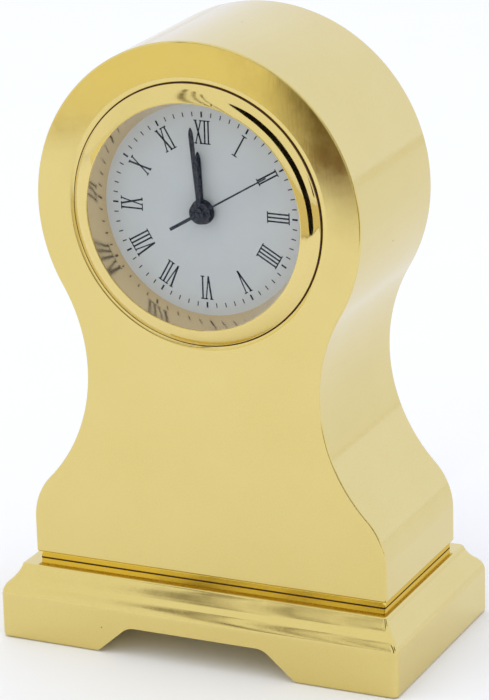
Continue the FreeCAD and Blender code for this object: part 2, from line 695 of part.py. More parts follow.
def make_second_hand():
    body = body_at("second_hand", "second_hand_depth", turn=HAND_ANGLES["second_hand"])
    disc(body, "hub", "second_hub", "0", "second_hand_thickness")
    plate(body, "blade", [
        ("-second_tail_half", "-second_tail"),
        ("second_tail_half", "-second_tail"),
        ("second_tail_half", "-second_tail_start"),
        ("second_half", "0"),
        ("second_tip_half", "second_length"),
        ("-second_tip_half", "second_length"),
        ("-second_half", "0"),
        ("-second_tail_half", "-second_tail_start"),
    ], "0", "second_hand_thickness")
    return body


# ---------------------------------------------------------------- motion works

def make_hour_wheel(phase):
    """The hour wheel and its tube, which turns on the cannon pinion and carries the hour hand."""
    body = body_at("hour_wheel", "hour_wheel_level", turn=phase["hour"])
    toothed_wheel(body, "rim", TEETH["hour"], "motion_module", "0", "wheel_thickness")
    reach = "hour_wheel_level - hour_hand_depth"
    disc(body, "tube", "hour_tube_outer", "0", reach)
    disc(body, "seat", "hour_seat", reach, "hand_thickness")
    holes(body, "bore", [("hour_tube_bore", "0", "0")])
    return body


def make_cannon_pinion(phase):
    """The cannon pinion: its leaves drive the minute wheel and its tube carries the minute hand."""
    body = body_at("cannon_pinion", "cannon_back", turn=phase["cannon"])
    reach = "cannon_back - minute_hand_depth"
    disc(body, "tube", "cannon_outer", "0", reach)
    disc(body, "seat", "minute_seat", reach, "hand_thickness")
    start = "cannon_back - minute_wheel_level - leaf_margin"
    toothed_wheel(body, "leaves", TEETH["cannon"], "motion_module", start, "cannon_leaf_length")
    holes(body, "bore", [("cannon_bore", "0", "0")])
    return body


def make_minute_wheel(phase):
    """The minute wheel and its pinion, which step the motion down to the hour wheel."""
    body = beside_axis("minute_wheel", "minute_wheel_level", "minute_wheel_x", "minute_wheel_y",
                       phase["minute"])
    toothed_wheel(body, "rim", TEETH["minute"], "motion_module", "0", "wheel_thickness")
    toothed_wheel(body, "leaves", TEETH["minute_pinion"], "motion_module", "0",
                  "minute_wheel_level - hour_wheel_level + wheel_thickness + leaf_margin")
    holes(body, "bore", [("post_bore", "0", "0")])
    return body


def make_minute_wheel_post():
    body = beside_axis("minute_wheel_post", "post_root", "minute_wheel_x", "minute_wheel_y")
    disc(body, "post", "post_radius", "0", "post_root - post_tip")
    return body


def make_dial_washer():
    """The thin spring washer that keeps the hour wheel off the back of the dial."""
    body = body_at("dial_washer", "washer_back")
    disc(body, "foil", "washer_radius", "0", "washer_thickness",
         bore="hour_tube_outer + shaft_gap")
    return body


def make_set_shaft(phase):
    """The setting shaft: its pinion meshes with the minute wheel and its tail holds the knob."""
    body = beside_axis("set_shaft", "knob_front", "setter_x", "setter_y", phase["setter"])
    disc(body, "shaft", "setter_shaft", "0", "knob_front - minute_wheel_level")
    start = "knob_front - minute_wheel_level"
    toothed_wheel(body, "leaves", TEETH["setter"], "motion_module", start, "wheel_thickness")
    return body


# ---------------------------------------------------------------- going train

def arbor(body):
    """A plain steel arbor between the plates, with a thinner pivot at each end."""
    disc(body, "arbor", "arbor", "0", f"{ARBOR_REAR} - {ARBOR_FRONT}")
    disc(body, "rear_pivot", "pivot", "-pivot_length", "pivot_length")
    disc(body, "front_pivot", "pivot", f"{ARBOR_REAR} - {ARBOR_FRONT}", "pivot_length")


def make_centre_wheel(phase):
    body = body_at("centre_wheel", "centre_wheel_level", turn=phase["centre"])
    toothed_wheel(body, "rim", TEETH["centre"], CENTRE_MODULE, "0", "wheel_thickness",
                  bore="cannon_outer")
    return body


def make_third(phase):
    """The third arbor with its pinion, and the third wheel pressed on it."""
    pinion = beside_axis("third_pinion", ARBOR_REAR, "third_x", "third_y",
                         phase["third_pinion"])
    arbor(pinion)
    toothed_wheel(pinion, "leaves", TEETH["third_pinion"], CENTRE_MODULE,
                  f"{ARBOR_REAR} - centre_wheel_level - leaf_lead", "pinion_length")
    wheel = beside_axis("third_wheel", "third_wheel_level", "third_x", "third_y",
                        phase["third"])
    toothed_wheel(wheel, "rim", TEETH["third"], "third_module", "0", "wheel_thickness",
                  bore="arbor")
    return [pinion, wheel]


def make_seconds(phase):
    """The long seconds arbor with its pinion, and the seconds wheel pressed on it."""
    pinion = body_at("seconds_pinion", ARBOR_REAR, turn=phase["seconds_pinion"])
    disc(pinion, "arbor", "seconds_arbor", "0", f"{ARBOR_REAR} - second_hand_depth")
    disc(pinion, "rear_pivot", "pivot", "-pivot_length", "pivot_length")
    toothed_wheel(pinion, "leaves", TEETH["seconds_pinion"], "third_module",
                  f"{ARBOR_REAR} - third_wheel_level - leaf_lead", "pinion_length")
    wheel = body_at("seconds_wheel", "seconds_wheel_level", turn=phase["seconds"])
    toothed_wheel(wheel, "rim", TEETH["seconds"], "seconds_module", "0", "wheel_thickness",
                  bore="seconds_arbor")
    return [pinion, wheel]


def make_intermediate(phase):
    """The intermediate arbor with its pinion, and the wheel that the rotor drives."""
    pinion = beside_axis("intermediate_pinion", ARBOR_REAR, "intermediate_x", "intermediate_y",
                         phase["intermediate_pinion"])
    arbor(pinion)
    toothed_wheel(pinion, "leaves", TEETH["intermediate_pinion"], "seconds_module",
                  f"{ARBOR_REAR} - seconds_wheel_level - leaf_lead", "pinion_length")
    wheel = beside_axis("intermediate_wheel", "intermediate_wheel_level", "intermediate_x",
                        "intermediate_y", phase["intermediate"])
    toothed_wheel(wheel, "rim", TEETH["intermediate"], "rotor_module", "0", "wheel_thickness",
                  bore="arbor")
    return [pinion, wheel]


def make_rotor(phase):
    """The stepping motor's rotor: an arbor with a pinion, and a magnet disc on it."""
    pinion = beside_axis("rotor_pinion", ARBOR_REAR, "rotor_x", "rotor_y", phase["rotor"])
    arbor(pinion)
    toothed_wheel(pinion, "leaves", TEETH["rotor"], "rotor_module",
                  f"{ARBOR_REAR} - intermediate_wheel_level - leaf_lead", "pinion_length")
    magnet = beside_axis("rotor_magnet", "magnet_back", "rotor_x", "rotor_y")
    disc(magnet, "disc", "magnet_radius", "0", "magnet_back - magnet_front", bore="arbor")
    return [pinion, magnet]


# ---------------------------------------------------------------- motor and electronics

def make_stator():
    """The soft-iron stator: a pole ring round the rotor with a limb to each end of the coil."""
    body = body_at("stator", "stator_front + stator_thickness")
    plate(body, "left_limb", [
        ("rotor_x - left_limb_out", "rotor_y"),
        ("rotor_x + left_limb_in", "rotor_y"),
        ("coil_left - limb_lap", "coil_y + core_half"),
        ("coil_left - core_tab", "coil_y + core_half"),
    ], "0", "stator_thickness")
    disc(body, "pole", "stator_pole", "0", "stator_thickness", x="rotor_x", y="rotor_y")
    plate(body, "right_limb", [
        ("rotor_x + limb_root_x", "rotor_y + limb_root_y"),
        ("rotor_x + limb_elbow_x", "rotor_y + limb_elbow_y"),
        ("rotor_x + limb_step_x", "limb_y - limb_half"),
        ("coil_right + core_tab", "limb_y - limb_half"),
        ("coil_right + core_tab", "coil_y + core_half"),
        ("coil_right + limb_lap", "coil_y + core_half"),
        ("coil_right + limb_lap", "limb_y + limb_half"),
        ("rotor_x + limb_corner_x", "limb_y + limb_half"),
    ], "0", "stator_thickness")
    holes(body, "rotor_hole", [("stator_hole", "rotor_x", "rotor_y")])
    return body


def make_coil():
    """The coil: a flat core on the stator's limbs, a plastic bobbin and the copper winding."""
    axis_depth = "stator_front + stator_thickness + core_thickness / 2"
    core = body_at("coil_core", "stator_front + stator_thickness + core_thickness")
    left, right = "coil_left - core_tab", "coil_right + core_tab"
    mid = f"(({left}) + ({right})) / 2"
    plate(core, "bar", rectangle(f"(({right}) - ({left})) / 2", "core_half", mid, "coil_y"),
          "0", "core_thickness")
    bobbin = beside_axis("coil_bobbin", axis_depth, "coil_left", "coil_y")
    winding = beside_axis("coil_winding", axis_depth, "coil_left", "coil_y")
    along_x(bobbin, "tube", ("bobbin_tube", "0", "coil_right - coil_left"))
    along_x(bobbin, "left_flange", ("flange_radius", "0", "flange_width"))
    along_x(bobbin, "right_flange",
            ("flange_radius", "coil_right - coil_left - flange_width", "flange_width"))
    window = sketch_on(bobbin, "window", plane="YZ_Plane")
    add_outline(window, rectangle("bobbin_bore_half", "bobbin_bore_half"))
    pocket(bobbin, window)
    along_x(winding, "turns", ("coil_radius", "flange_width",
                               "coil_right - coil_left - 2 * flange_width"), "bobbin_tube")
    return [core, bobbin, winding]


def along_x(body, name, run, bore=None):
    """A round pad along the body's X: run is (radius, start, length)."""
    radius, start, length = run
    sketch = sketch_on(body, name, plane="YZ_Plane", offset=start)
    add_circle(sketch, radius)
    if bore is not None:
        add_circle(sketch, bore)
    return pad(body, sketch, length)


def make_holder():
    """The moulded ring that centres the movement in the cup and backs the dial."""
    body = body_at("movement_holder", "holder_back")
    disc(body, "ring", "holder_outer", "0", "holder_back - holder_front", bore="holder_inner")
    return body


def pivot_spots():
    return [
        ("pivot_hole", "third_x", "third_y"),
        ("pivot_hole", "intermediate_x", "intermediate_y"),
        ("pivot_hole", "rotor_x", "rotor_y"),
    ]


def make_main_plate():
    body = body_at("main_plate", "main_plate_back")
    disc(body, "plate", "plate_radius", "0", "main_plate_back - main_plate_front")
    for index, (x, y) in enumerate(SCREW_SPOTS):
        disc(body, f"pillar{index}", "pillar_radius", "main_plate_back - bridge_front",
             "bridge_front - main_plate_back", x=x, y=y)
    holes(body, "bores", pivot_spots() + [
        ("cannon_outer + running_gap", "0", "0"),
        ("post_radius", "minute_wheel_x", "minute_wheel_y"),
        ("setter_shaft + shaft_gap", "setter_x", "setter_y"),
    ])
    taps = sketch_on(body, "screw_taps", offset="main_plate_back - bridge_front")
    for x, y in SCREW_SPOTS:
        add_circle(taps, "bridge_tap", x, y)
    pocket(body, taps, "bridge_tap_depth", reverse=True)
    return body


def make_train_bridge():
    """The rear plate of the train, cut away round the cell and the coil."""
    body = body_at("train_bridge", "bridge_back")
    disc(body, "plate", "bridge_radius", "0", "bridge_back - bridge_front")
    holes(body, "bores", pivot_spots() + [
        ("pivot_hole", "0", "0"),
        ("setter_shaft + shaft_gap", "setter_x", "setter_y"),
        ("cell_radius + cell_gap", "cell_x", "cell_y"),
    ] + [("bridge_screw_clearance", x, y) for x, y in SCREW_SPOTS])
    sketch = sketch_on(body, "coil_gap")
    add_outline(sketch, rectangle("coil_gap_half_x", "coil_gap_half_y",
                                  "(coil_left + coil_right) / 2", "coil_y + coil_gap_lift"))
    pocket(body, sketch)
    return body


def make_bridge_screws():
    screw = make_screw("bridge_screw", "bridge_screw_head", "bridge_screw_head_height",
                       "bridge_screw_shank", "bridge_screw_length")
    rotation = Rotation(Vector(1, 0, 0), 90)
    spots = [(x, "case_front_y + bridge_back", f"dial_axis_z + ({y})") for x, y in SCREW_SPOTS]
    return make_screws("bridge_screws", screw, spots, rotation)


def make_circuit_board():
    """The circuit board on the right of the bridge, cut clear of the setting shaft."""
    body = body_at("circuit_board", "board_front + board_thickness")
    plate(body, "board", [
        ("board_left", "board_foot"),
        ("board_foot_x", "board_foot"),
        ("board_right", "board_side_low"),
        ("board_right", "board_side_high"),
        ("board_notch_x", "board_side_high"),
        ("board_head_x", "board_head"),
        ("board_left", "board_head"),
    ], "0", "board_thickness")
    return body


def make_control_chip():
    body = body_at("control_chip", "board_front + board_thickness + chip_height")
    plate(body, "block", rectangle("chip_half", "chip_half", "chip_x", "chip_y"), "0",
          "chip_height")
    return body


def make_quartz_can():
    """The quartz resonator's can, lying on the board."""
    body = beside_axis("quartz_can", "board_front + board_thickness + crystal_can_radius",
                       "crystal_can_x", "crystal_can_y")
    sketch = sketch_on(body, "can", plane="XZ_Plane", offset="-crystal_can_half")
    add_circle(sketch, "crystal_can_radius")
    pad(body, sketch, "2 * crystal_can_half")
    return body


def make_battery_cell():
    """The button cell: its can, with the smaller insulated cap towards the front."""
    body = beside_axis("battery_cell", "cell_front + cell_height", "cell_x", "cell_y")
    disc(body, "can", "cell_radius", "0", "cell_height - cell_cap_height")
    disc(body, "cap", "cell_radius - cell_cap_inset", "cell_height - cell_cap_height",
         "cell_cap_height")
    return body


def make_battery_contact():
    """The spring strip from the board's edge to the cell's cap."""
    body = body_at("battery_contact", "cell_front")
    outline = rectangle("contact_half_length", "contact_half_width", "cell_x", "cell_y")
    plate(body, "strip", outline, "0", "contact_thickness")
    return body


def make_all(phase):
    parts = [
        make_case_body(), make_plinth(), make_case_screws(),
        make_insert_cup(), make_bezel(), make_crystal(), make_dial_ring(), make_dial(),
        make_grip_ring(), make_back_cover(), make_battery_hatch(), make_set_knob(),
        make_hour_hand(), make_minute_hand(), make_second_hand(),
        make_hour_wheel(phase), make_cannon_pinion(phase), make_minute_wheel(phase),
        make_minute_wheel_post(), make_dial_washer(), make_set_shaft(phase),
        make_centre_wheel(phase), make_stator(), make_holder(), make_main_plate(),
        make_train_bridge(), make_bridge_screws(), make_circuit_board(), make_control_chip(),
        make_quartz_can(), make_battery_cell(), make_battery_contact(),
    ]
    for group in (make_third, make_seconds, make_intermediate, make_rotor):
        parts += group(phase)
    parts += make_coil()
    return parts


def check(parts):
    """Stops if any object failed to build or a part has no sound shape."""
    for obj in doc.Objects:
        if {"Invalid", "Error"} & set(obj.State):
            raise RuntimeError(f"{obj.Name} did not build: {obj.State}")
    for part in parts:
        if part.Shape.isNull() or not part.Shape.isValid():
            raise RuntimeError(f"{part.Label} has no valid shape")


def main():
    fill_sheet()
    parts = make_all(gear_phases())
    doc.recompute()
    check(parts)
    os.makedirs("parts", exist_ok=True)
    for part in parts:
        part.Shape.exportStep(f"parts/{part.Label}.step")
        box = part.Shape.BoundBox
        print(f"{part.Label:22s} solids {len(part.Shape.Solids)} volume {part.Shape.Volume:9.3f}  "
              f"x {box.XMin:7.2f} {box.XMax:7.2f}  y {box.YMin:7.2f} {box.YMax:7.2f}  "
              f"z {box.ZMin:7.2f} {box.ZMax:7.2f}")


main()
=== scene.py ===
import json
import math

import bmesh
import bpy
import numpy as np
from mathutils import Matrix, Vector


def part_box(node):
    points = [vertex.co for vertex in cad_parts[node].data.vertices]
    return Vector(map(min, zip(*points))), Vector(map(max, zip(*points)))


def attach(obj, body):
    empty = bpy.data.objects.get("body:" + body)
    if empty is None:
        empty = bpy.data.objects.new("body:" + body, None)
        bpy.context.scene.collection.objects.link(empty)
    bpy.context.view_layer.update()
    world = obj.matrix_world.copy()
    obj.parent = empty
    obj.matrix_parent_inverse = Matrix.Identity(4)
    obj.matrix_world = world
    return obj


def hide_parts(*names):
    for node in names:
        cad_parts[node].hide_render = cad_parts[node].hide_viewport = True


# A miniature waisted mantel clock on a moulded plinth. It stands on z = 0 and its dial faces -Y.
# Sizes are in millimetres and are multiplied by MM where Blender takes metres. Inside a material,
# texture scales are per metre and distances are in metres.

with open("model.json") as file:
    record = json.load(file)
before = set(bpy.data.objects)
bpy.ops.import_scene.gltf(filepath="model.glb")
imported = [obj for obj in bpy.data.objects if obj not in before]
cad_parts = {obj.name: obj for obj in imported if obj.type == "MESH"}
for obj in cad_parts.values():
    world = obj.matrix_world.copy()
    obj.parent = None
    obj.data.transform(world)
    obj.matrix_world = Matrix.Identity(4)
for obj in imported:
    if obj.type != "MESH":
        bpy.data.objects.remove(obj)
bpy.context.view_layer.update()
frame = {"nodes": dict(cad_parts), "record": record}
RECORD = frame["record"]
NODES = frame["nodes"]
SLOT_OF = {part["node"]: part["material_slot"] for part in RECORD["subparts"]}
MM = 0.001


def node_box(name):
    """A CAD node's lowest and highest corners."""
    low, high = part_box(name)
    return low / MM, high / MM


# ------------------------------------------------------------------ sizes read from the frame

CASE_LOW, CASE_HIGH = node_box("case_body")
PLINTH_HIGH = node_box("plinth")[1]
BEZEL_LOW, BEZEL_HIGH = node_box("bezel")
RING_LOW, RING_HIGH = node_box("dial_ring")
CRYSTAL_LOW, CRYSTAL_HIGH = node_box("crystal")

FACE_Y = CASE_LOW.y
AXIS_Z = (BEZEL_LOW.z + BEZEL_HIGH.z) / 2
BEZEL_R = BEZEL_HIGH.x
DIAL_Y = node_box("dial")[0].y
SECOND_HAND_Y = node_box("second_hand")[0].y


# ------------------------------------------------------------------ mesh helpers

def add_object(name, data):
    obj = bpy.data.objects.new(name, data)
    bpy.context.scene.collection.objects.link(obj)
    return obj


def new_object(name, verts, faces):
    """A mesh object from points, with doubled points merged and its faces turned outwards."""
    mesh = bpy.data.meshes.new(name)
    mesh.from_pydata([tuple(c * MM for c in v) for v in verts], [], faces)
    mesh.validate()
    bm = bmesh.new()
    bm.from_mesh(mesh)
    bmesh.ops.remove_doubles(bm, verts=bm.verts, dist=1e-7)
    bmesh.ops.recalc_face_normals(bm, faces=bm.faces)
    bm.to_mesh(mesh)
    bm.free()
    return add_object(name, mesh)


def shade(obj, sharp_degrees):
    """Smooth shading that keeps creases sharp and large flats flat."""
    mesh = obj.data
    mesh.polygons.foreach_set("use_smooth", [True] * len(mesh.polygons))
    bm = bmesh.new()
    bm.from_mesh(mesh)
    limit = math.radians(sharp_degrees)
    for edge in bm.edges:
        edge.smooth = len(edge.link_faces) != 2 or edge.calc_face_angle(0.0) < limit
    bm.to_mesh(mesh)
    bm.free()
    weights = obj.modifiers.new("flat_faces", "WEIGHTED_NORMAL")
    weights.keep_sharp = True
    weights.weight = 100


def loft(rings, closed_tube=False):
    """Vertices and faces of rings of equal length joined into a skin. It is capped at both ends,
    unless the last ring is joined to the first."""
    count = len(rings[0])
    verts = [tuple(p) for ring in rings for p in ring]
    faces = []
    for k in range(len(rings) - 1 + (1 if closed_tube else 0)):
        here = k * count
        there = ((k + 1) % len(rings)) * count
        for i in range(count):
            j = (i + 1) % count
            faces.append((here + i, here + j, there + j, there + i))
    if not closed_tube:
        faces.append(tuple(reversed(range(count))))
        faces.append(tuple(range((len(rings) - 1) * count, len(rings) * count)))
    return verts, faces


def circle_ring(radius, y, segments=192):
    """Points round the dial's axis at depth y."""
    return [(radius * math.sin(a), y, AXIS_Z + radius * math.cos(a))
            for a in np.linspace(0, 2 * math.pi, segments, endpoint=False)]


def lathe(name, profile, segments):
    """A solid turned about the dial's axis. The profile is a closed list of (radius, y)."""
    rings = [circle_ring(radius, y, segments) for radius, y in profile]
    verts, faces = loft(rings, closed_tube=True)
    return new_object(name, verts, faces)


def arc(cx, cy, radius, start, end, steps):
    """Points on an arc, with angles in degrees."""
    return [(cx + radius * math.cos(math.radians(a)), cy + radius * math.sin(math.radians(a)))
            for a in np.linspace(start, end, steps)]


def bake_modifiers(obj):
    """Applies the modifiers so that the mesh holds the finished shape."""
    depsgraph = bpy.context.evaluated_depsgraph_get()
    mesh = bpy.data.meshes.new_from_object(obj.evaluated_get(depsgraph))
    obj.modifiers.clear()
    obj.data = mesh


def place(obj, body, slot, *replaced, finish=None):
    """Hands a piece to its body and slot. It wears the slot's material unless a finish is named."""
    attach(obj, body)
    if replaced:
        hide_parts(*replaced)
    obj.data.materials.clear()
    obj.data.materials.append(MATERIALS[finish or slot])
    return obj


# ------------------------------------------------------------------ materials

class Nodes:
    """A short way to write a material's node tree."""

    def __init__(self, name):
        self.material = bpy.data.materials.new(name)
        self.material.use_nodes = True
        self.tree = self.material.node_tree
        self.shader = self.tree.nodes["Principled BSDF"]
        self.place = self.add("ShaderNodeTexCoord").outputs["Object"]

    def add(self, kind, **values):
        """A node. Each value goes to the input of that name, or else to that setting."""
        node = self.tree.nodes.new(kind)
        for key, value in values.items():
            if key in node.inputs:
                node.inputs[key].default_value = value
            else:
                setattr(node, key, value)
        return node

    def link(self, source, target):
        self.tree.links.new(source, target)

    def stretched(self, stretch):
        """The object's own coordinates, scaled along each axis."""
        mapping = self.add("ShaderNodeMapping", Scale=stretch)
        self.link(self.place, mapping.inputs["Vector"])
        return mapping.outputs["Vector"]

    def noise(self, scale, detail=4.0, roughness=0.6, stretch=None):
        node = self.add("ShaderNodeTexNoise", Scale=scale, Detail=detail, Roughness=roughness)
        self.link(self.stretched(stretch) if stretch else self.place, node.inputs["Vector"])
        return node.outputs["Fac"]

    def remap(self, source, low, high, source_low=0.35, source_high=0.65):
        node = self.add("ShaderNodeMapRange")
        node.inputs["From Min"].default_value = source_low
        node.inputs["From Max"].default_value = source_high
        node.inputs["To Min"].default_value = low
        node.inputs["To Max"].default_value = high
        self.link(source, node.inputs["Value"])
        return node.outputs["Result"]

    def mix(self, factor, first, second):
        """A colour between two, each given as a colour or as a socket."""
        node = self.add("ShaderNodeMix", data_type="RGBA")
        self.link(factor, node.inputs["Factor"])
        for value, socket in ((first, node.inputs[6]), (second, node.inputs[7])):
            if isinstance(value, tuple):
                socket.default_value = value
            else:
                self.link(value, socket)
        return node.outputs[2]

    def times(self, first, second):
        node = self.add("ShaderNodeMix", data_type="RGBA", blend_type="MULTIPLY")
        node.inputs["Factor"].default_value = 1.0
        self.link(first, node.inputs[6])
        self.link(second, node.inputs[7])
        return node.outputs[2]

    def math(self, operation, first, second):
        """A sum, product or the like of two values, each given as a number or as a socket."""
        node = self.add("ShaderNodeMath", operation=operation)
        for value, socket in zip((first, second), node.inputs):
            if isinstance(value, float):
                socket.default_value = value
            else:
                self.link(value, socket)
        return node.outputs[0]

    def specks(self, scale, size, stretch=(1.0, 1.0, 1.0)):
        """A mask of small scattered dots, or of short marks when it is stretched."""
        place = self.stretched(stretch)
        cells = self.add("ShaderNodeTexVoronoi", Scale=scale, Randomness=1.0)
        self.link(place, cells.inputs["Vector"])
        return self.remap(cells.outputs["Distance"], 1.0, 0.0, size * 0.6, size)

    def bumps(self, *layers):
        """Bump layers from the broadest to the finest, each a (height, strength, distance)."""
        normal = None
        for height, strength, distance in layers:
            node = self.add("ShaderNodeBump", Strength=strength, Distance=distance)
            self.link(height, node.inputs["Height"])
            if normal is not None:
                self.link(normal, node.inputs["Normal"])
            normal = node.outputs["Normal"]
        self.link(normal, self.shader.inputs["Normal"])


def rgb(red, green, blue):
    return (red, green, blue, 1.0)


def polished_gold(name, colour, deep, roughness=(0.07, 0.13)):
    """Gold plate: a slow tone drift, hazy patches, fine rub marks, dust and a few short marks."""
    n = Nodes(name)
    n.shader.inputs["Metallic"].default_value = 1.0
    tone = n.mix(n.remap(n.noise(90.0, 3.0), 0.0, 0.5), colour, deep)
    grain = n.remap(n.noise(7000.0, 2.0), 0.0, 1.0)
    fine = n.mix(grain, rgb(0.96, 0.955, 0.93), rgb(1.0, 1.0, 1.0))
    dust = n.specks(190.0, 0.022)
    speckled = n.mix(dust, n.times(tone, fine), rgb(0.16, 0.10, 0.04))
    marks = n.specks(140.0, 0.02, stretch=(1.0, 0.45, 0.22))
    n.link(n.mix(marks, speckled, rgb(0.30, 0.21, 0.09)), n.shader.inputs["Base Color"])
    haze = n.remap(n.noise(260.0, 5.0), *roughness)
    n.link(haze, n.shader.inputs["Roughness"])
    rub = n.noise(5200.0, 2.0, 0.5, stretch=(1.0, 1.0, 0.12))
    wave = n.noise(85.0, 1.0, 0.4)
    n.bumps((wave, 0.35, 0.00012), (rub, 0.04, 0.00002))
    return n.material


def satin_metal(name, colour, deep, roughness=(0.28, 0.42), stretch=(1.0, 0.08, 1.0)):
    """Metal with a fine drawn grain."""
    n = Nodes(name)
    n.shader.inputs["Metallic"].default_value = 1.0
    n.link(n.mix(n.noise(1500.0, 4.0), colour, deep), n.shader.inputs["Base Color"])
    n.link(n.remap(n.noise(3200.0, 4.0, stretch=stretch), *roughness),
           n.shader.inputs["Roughness"])
    n.bumps((n.noise(9000.0, 3.0, stretch=stretch), 0.12, 0.00002))
    return n.material


def plastic(name, colour, deep, roughness=(0.35, 0.5)):
    """Moulded plastic, rubber or paint with a slight mottle and a fine grain."""
    n = Nodes(name)
    n.link(n.mix(n.noise(700.0, 4.0), colour, deep), n.shader.inputs["Base Color"])
    n.link(n.remap(n.noise(2100.0), *roughness), n.shader.inputs["Roughness"])
    n.bumps((n.noise(6000.0, 3.0), 0.15, 0.00002))
    return n.material


def dial_paint():
    """Pale grey satin paint with a faint cool mottle and the tiniest grain."""
    n = Nodes("dial_paint")
    mottle = n.mix(n.noise(260.0, 4.0), rgb(0.585, 0.64, 0.655), rgb(0.635, 0.675, 0.685))
    fleck = n.specks(900.0, 0.05)
    n.link(n.mix(fleck, mottle, rgb(0.47, 0.49, 0.52)), n.shader.inputs["Base Color"])
    n.link(n.remap(n.noise(4000.0), 0.5, 0.62), n.shader.inputs["Roughness"])
    n.bumps((n.noise(15000.0, 2.0), 0.08, 0.00001))
    return n.material


def lacquer():
    """Blue-black lacquer of the hands and the dial's print."""
    n = Nodes("blue_black_lacquer")
    n.link(n.mix(n.noise(1200.0, 3.0), rgb(0.006, 0.009, 0.022), rgb(0.013, 0.018, 0.038)),
           n.shader.inputs["Base Color"])
    n.link(n.remap(n.noise(3000.0), 0.2, 0.32), n.shader.inputs["Roughness"])
    n.bumps((n.noise(12000.0, 2.0), 0.08, 0.00001))
    return n.material


def clear_crystal():
    """A clear pane that shows by its reflections, with the odd dull speck on it."""
    n = Nodes("clear_crystal")
    n.shader.inputs["IOR"].default_value = 1.5
    n.shader.inputs["Alpha"].default_value = 0.08
    n.link(n.mix(n.noise(300.0), rgb(0.02, 0.03, 0.03), rgb(0.03, 0.035, 0.035)),
           n.shader.inputs["Base Color"])
    n.link(n.remap(n.specks(300.0, 0.05), 0.0, 0.25, 0.0, 1.0), n.shader.inputs["Roughness"])
    return n.material


def make_materials():
    """One material for each slot, and three finishes that only some pieces wear: painted shade for
    the dark strips in the gaps, and two copies of the gold with painted light.
    """
    gold_deep = rgb(0.74, 0.595, 0.215)
    return {
        "case_gold": polished_gold("case_gold_plate", rgb(0.77, 0.63, 0.245), gold_deep),
        "plinth_gold": polished_gold("plinth_gold_plate", rgb(0.765, 0.625, 0.24), gold_deep),
        "bezel_gold": polished_gold("bezel_gold_plate", rgb(0.79, 0.64, 0.26), gold_deep,
                                    roughness=(0.04, 0.09)),
        # painted reflected light: a paler, pinker copy of the bezel gold for the dial wall
        "wall_painted_light_gold": polished_gold("wall_painted_light_gold_plate", rgb(0.98, 0.76, 0.46),
                                   rgb(0.95, 0.72, 0.41), roughness=(0.11, 0.15)),
        # painted reflected light: a more saturated copy of the case gold for the recessed neck
        "neck_painted_light_gold": polished_gold("neck_painted_light_gold_plate", rgb(0.88, 0.68, 0.15),
                                   rgb(0.84, 0.63, 0.12)),
        # painted shade: a near-black red-brown laid in the neck's groove and the bezel's gap, where
        # there is only shade
        "painted_shade_strip": plastic("painted_shade_strip", rgb(0.035, 0.008, 0.004),
                                rgb(0.06, 0.015, 0.008), (0.6, 0.75)),
        "crystal": clear_crystal(),
        "dial_white": dial_paint(),
        "hand_blue": lacquer(),
        "insert_steel": satin_metal("insert_steel", rgb(0.66, 0.64, 0.60),
                                    rgb(0.54, 0.52, 0.48)),
        "grip_rubber": plastic("grip_rubber", rgb(0.018, 0.018, 0.018),
                               rgb(0.035, 0.034, 0.032), (0.6, 0.8)),
        "knob_black": plastic("knob_plastic", rgb(0.012, 0.012, 0.012),
                              rgb(0.025, 0.025, 0.025), (0.22, 0.34)),
        "screw_steel": satin_metal("screw_zinc", rgb(0.50, 0.50, 0.47), rgb(0.38, 0.37, 0.33)),
        "wheel_brass": satin_metal("wheel_brass", rgb(0.78, 0.58, 0.26),
                                   rgb(0.66, 0.46, 0.18), (0.2, 0.34)),
        "pinion_steel": satin_metal("pinion_steel", rgb(0.62, 0.62, 0.63),
                                    rgb(0.5, 0.5, 0.52), (0.16, 0.3)),
        "holder_plastic": plastic("holder_plastic", rgb(0.78, 0.76, 0.68),
                                  rgb(0.70, 0.67, 0.58)),
        "soft_iron": satin_metal("soft_iron", rgb(0.46, 0.45, 0.44), rgb(0.33, 0.32, 0.31)),
        "coil_copper": satin_metal("coil_wire", rgb(0.60, 0.22, 0.07), rgb(0.42, 0.13, 0.04),
                                   (0.2, 0.35), (0.05, 1.0, 1.0)),
        "board_green": plastic("board_mask", rgb(0.03, 0.17, 0.07), rgb(0.05, 0.24, 0.10),
                               (0.2, 0.35)),
        "chip_black": plastic("chip_epoxy", rgb(0.012, 0.012, 0.013), rgb(0.03, 0.03, 0.03)),
        "cell_steel": satin_metal("cell_nickel", rgb(0.74, 0.73, 0.70), rgb(0.62, 0.61, 0.58),
                                  (0.14, 0.26)),
        "magnet_grey": satin_metal("sintered_magnet", rgb(0.22, 0.22, 0.23),
                                   rgb(0.14, 0.14, 0.15), (0.4, 0.6)),
    }


MATERIALS = make_materials()


def dress_frame():
    """Every CAD node takes its slot's material."""
    for name, obj in NODES.items():
        obj.data.materials.clear()
        obj.data.materials.append(MATERIALS[SLOT_OF[name]])


# ------------------------------------------------------------------ case

ARCH_R = CASE_HIGH.z - AXIS_Z
WAIST_R = 17.7
WAIST_Z = 29.45
FLARE_R = 7.0
FOOT_X = CASE_HIGH.x
FOOT_Z = 8.6
FOOT_CORNER = 0.25
EDGE_R = 0.2
BORE_R = 12.6
BORE_DEPTH = 10.0
WINDOW_R = 11.2
WINDOW_CHAMFER = 0.12
# the shallow seat for the bezel, and its worn edge as (outwards from the seat's wall, depth)
SEAT_R = BEZEL_R + 0.085
SEAT_DEPTH = 0.25
SEAT_WALL_TOP = 0.2
SEAT_WEAR = [(0.62, 0.0), (0.44, 0.008), (0.30, 0.024), (0.18, 0.052), (0.08, 0.092), (0.02, 0.14)]


def unit(degrees):
    """A unit vector as (across, up)."""
    return math.cos(math.radians(degrees)), math.sin(math.radians(degrees))


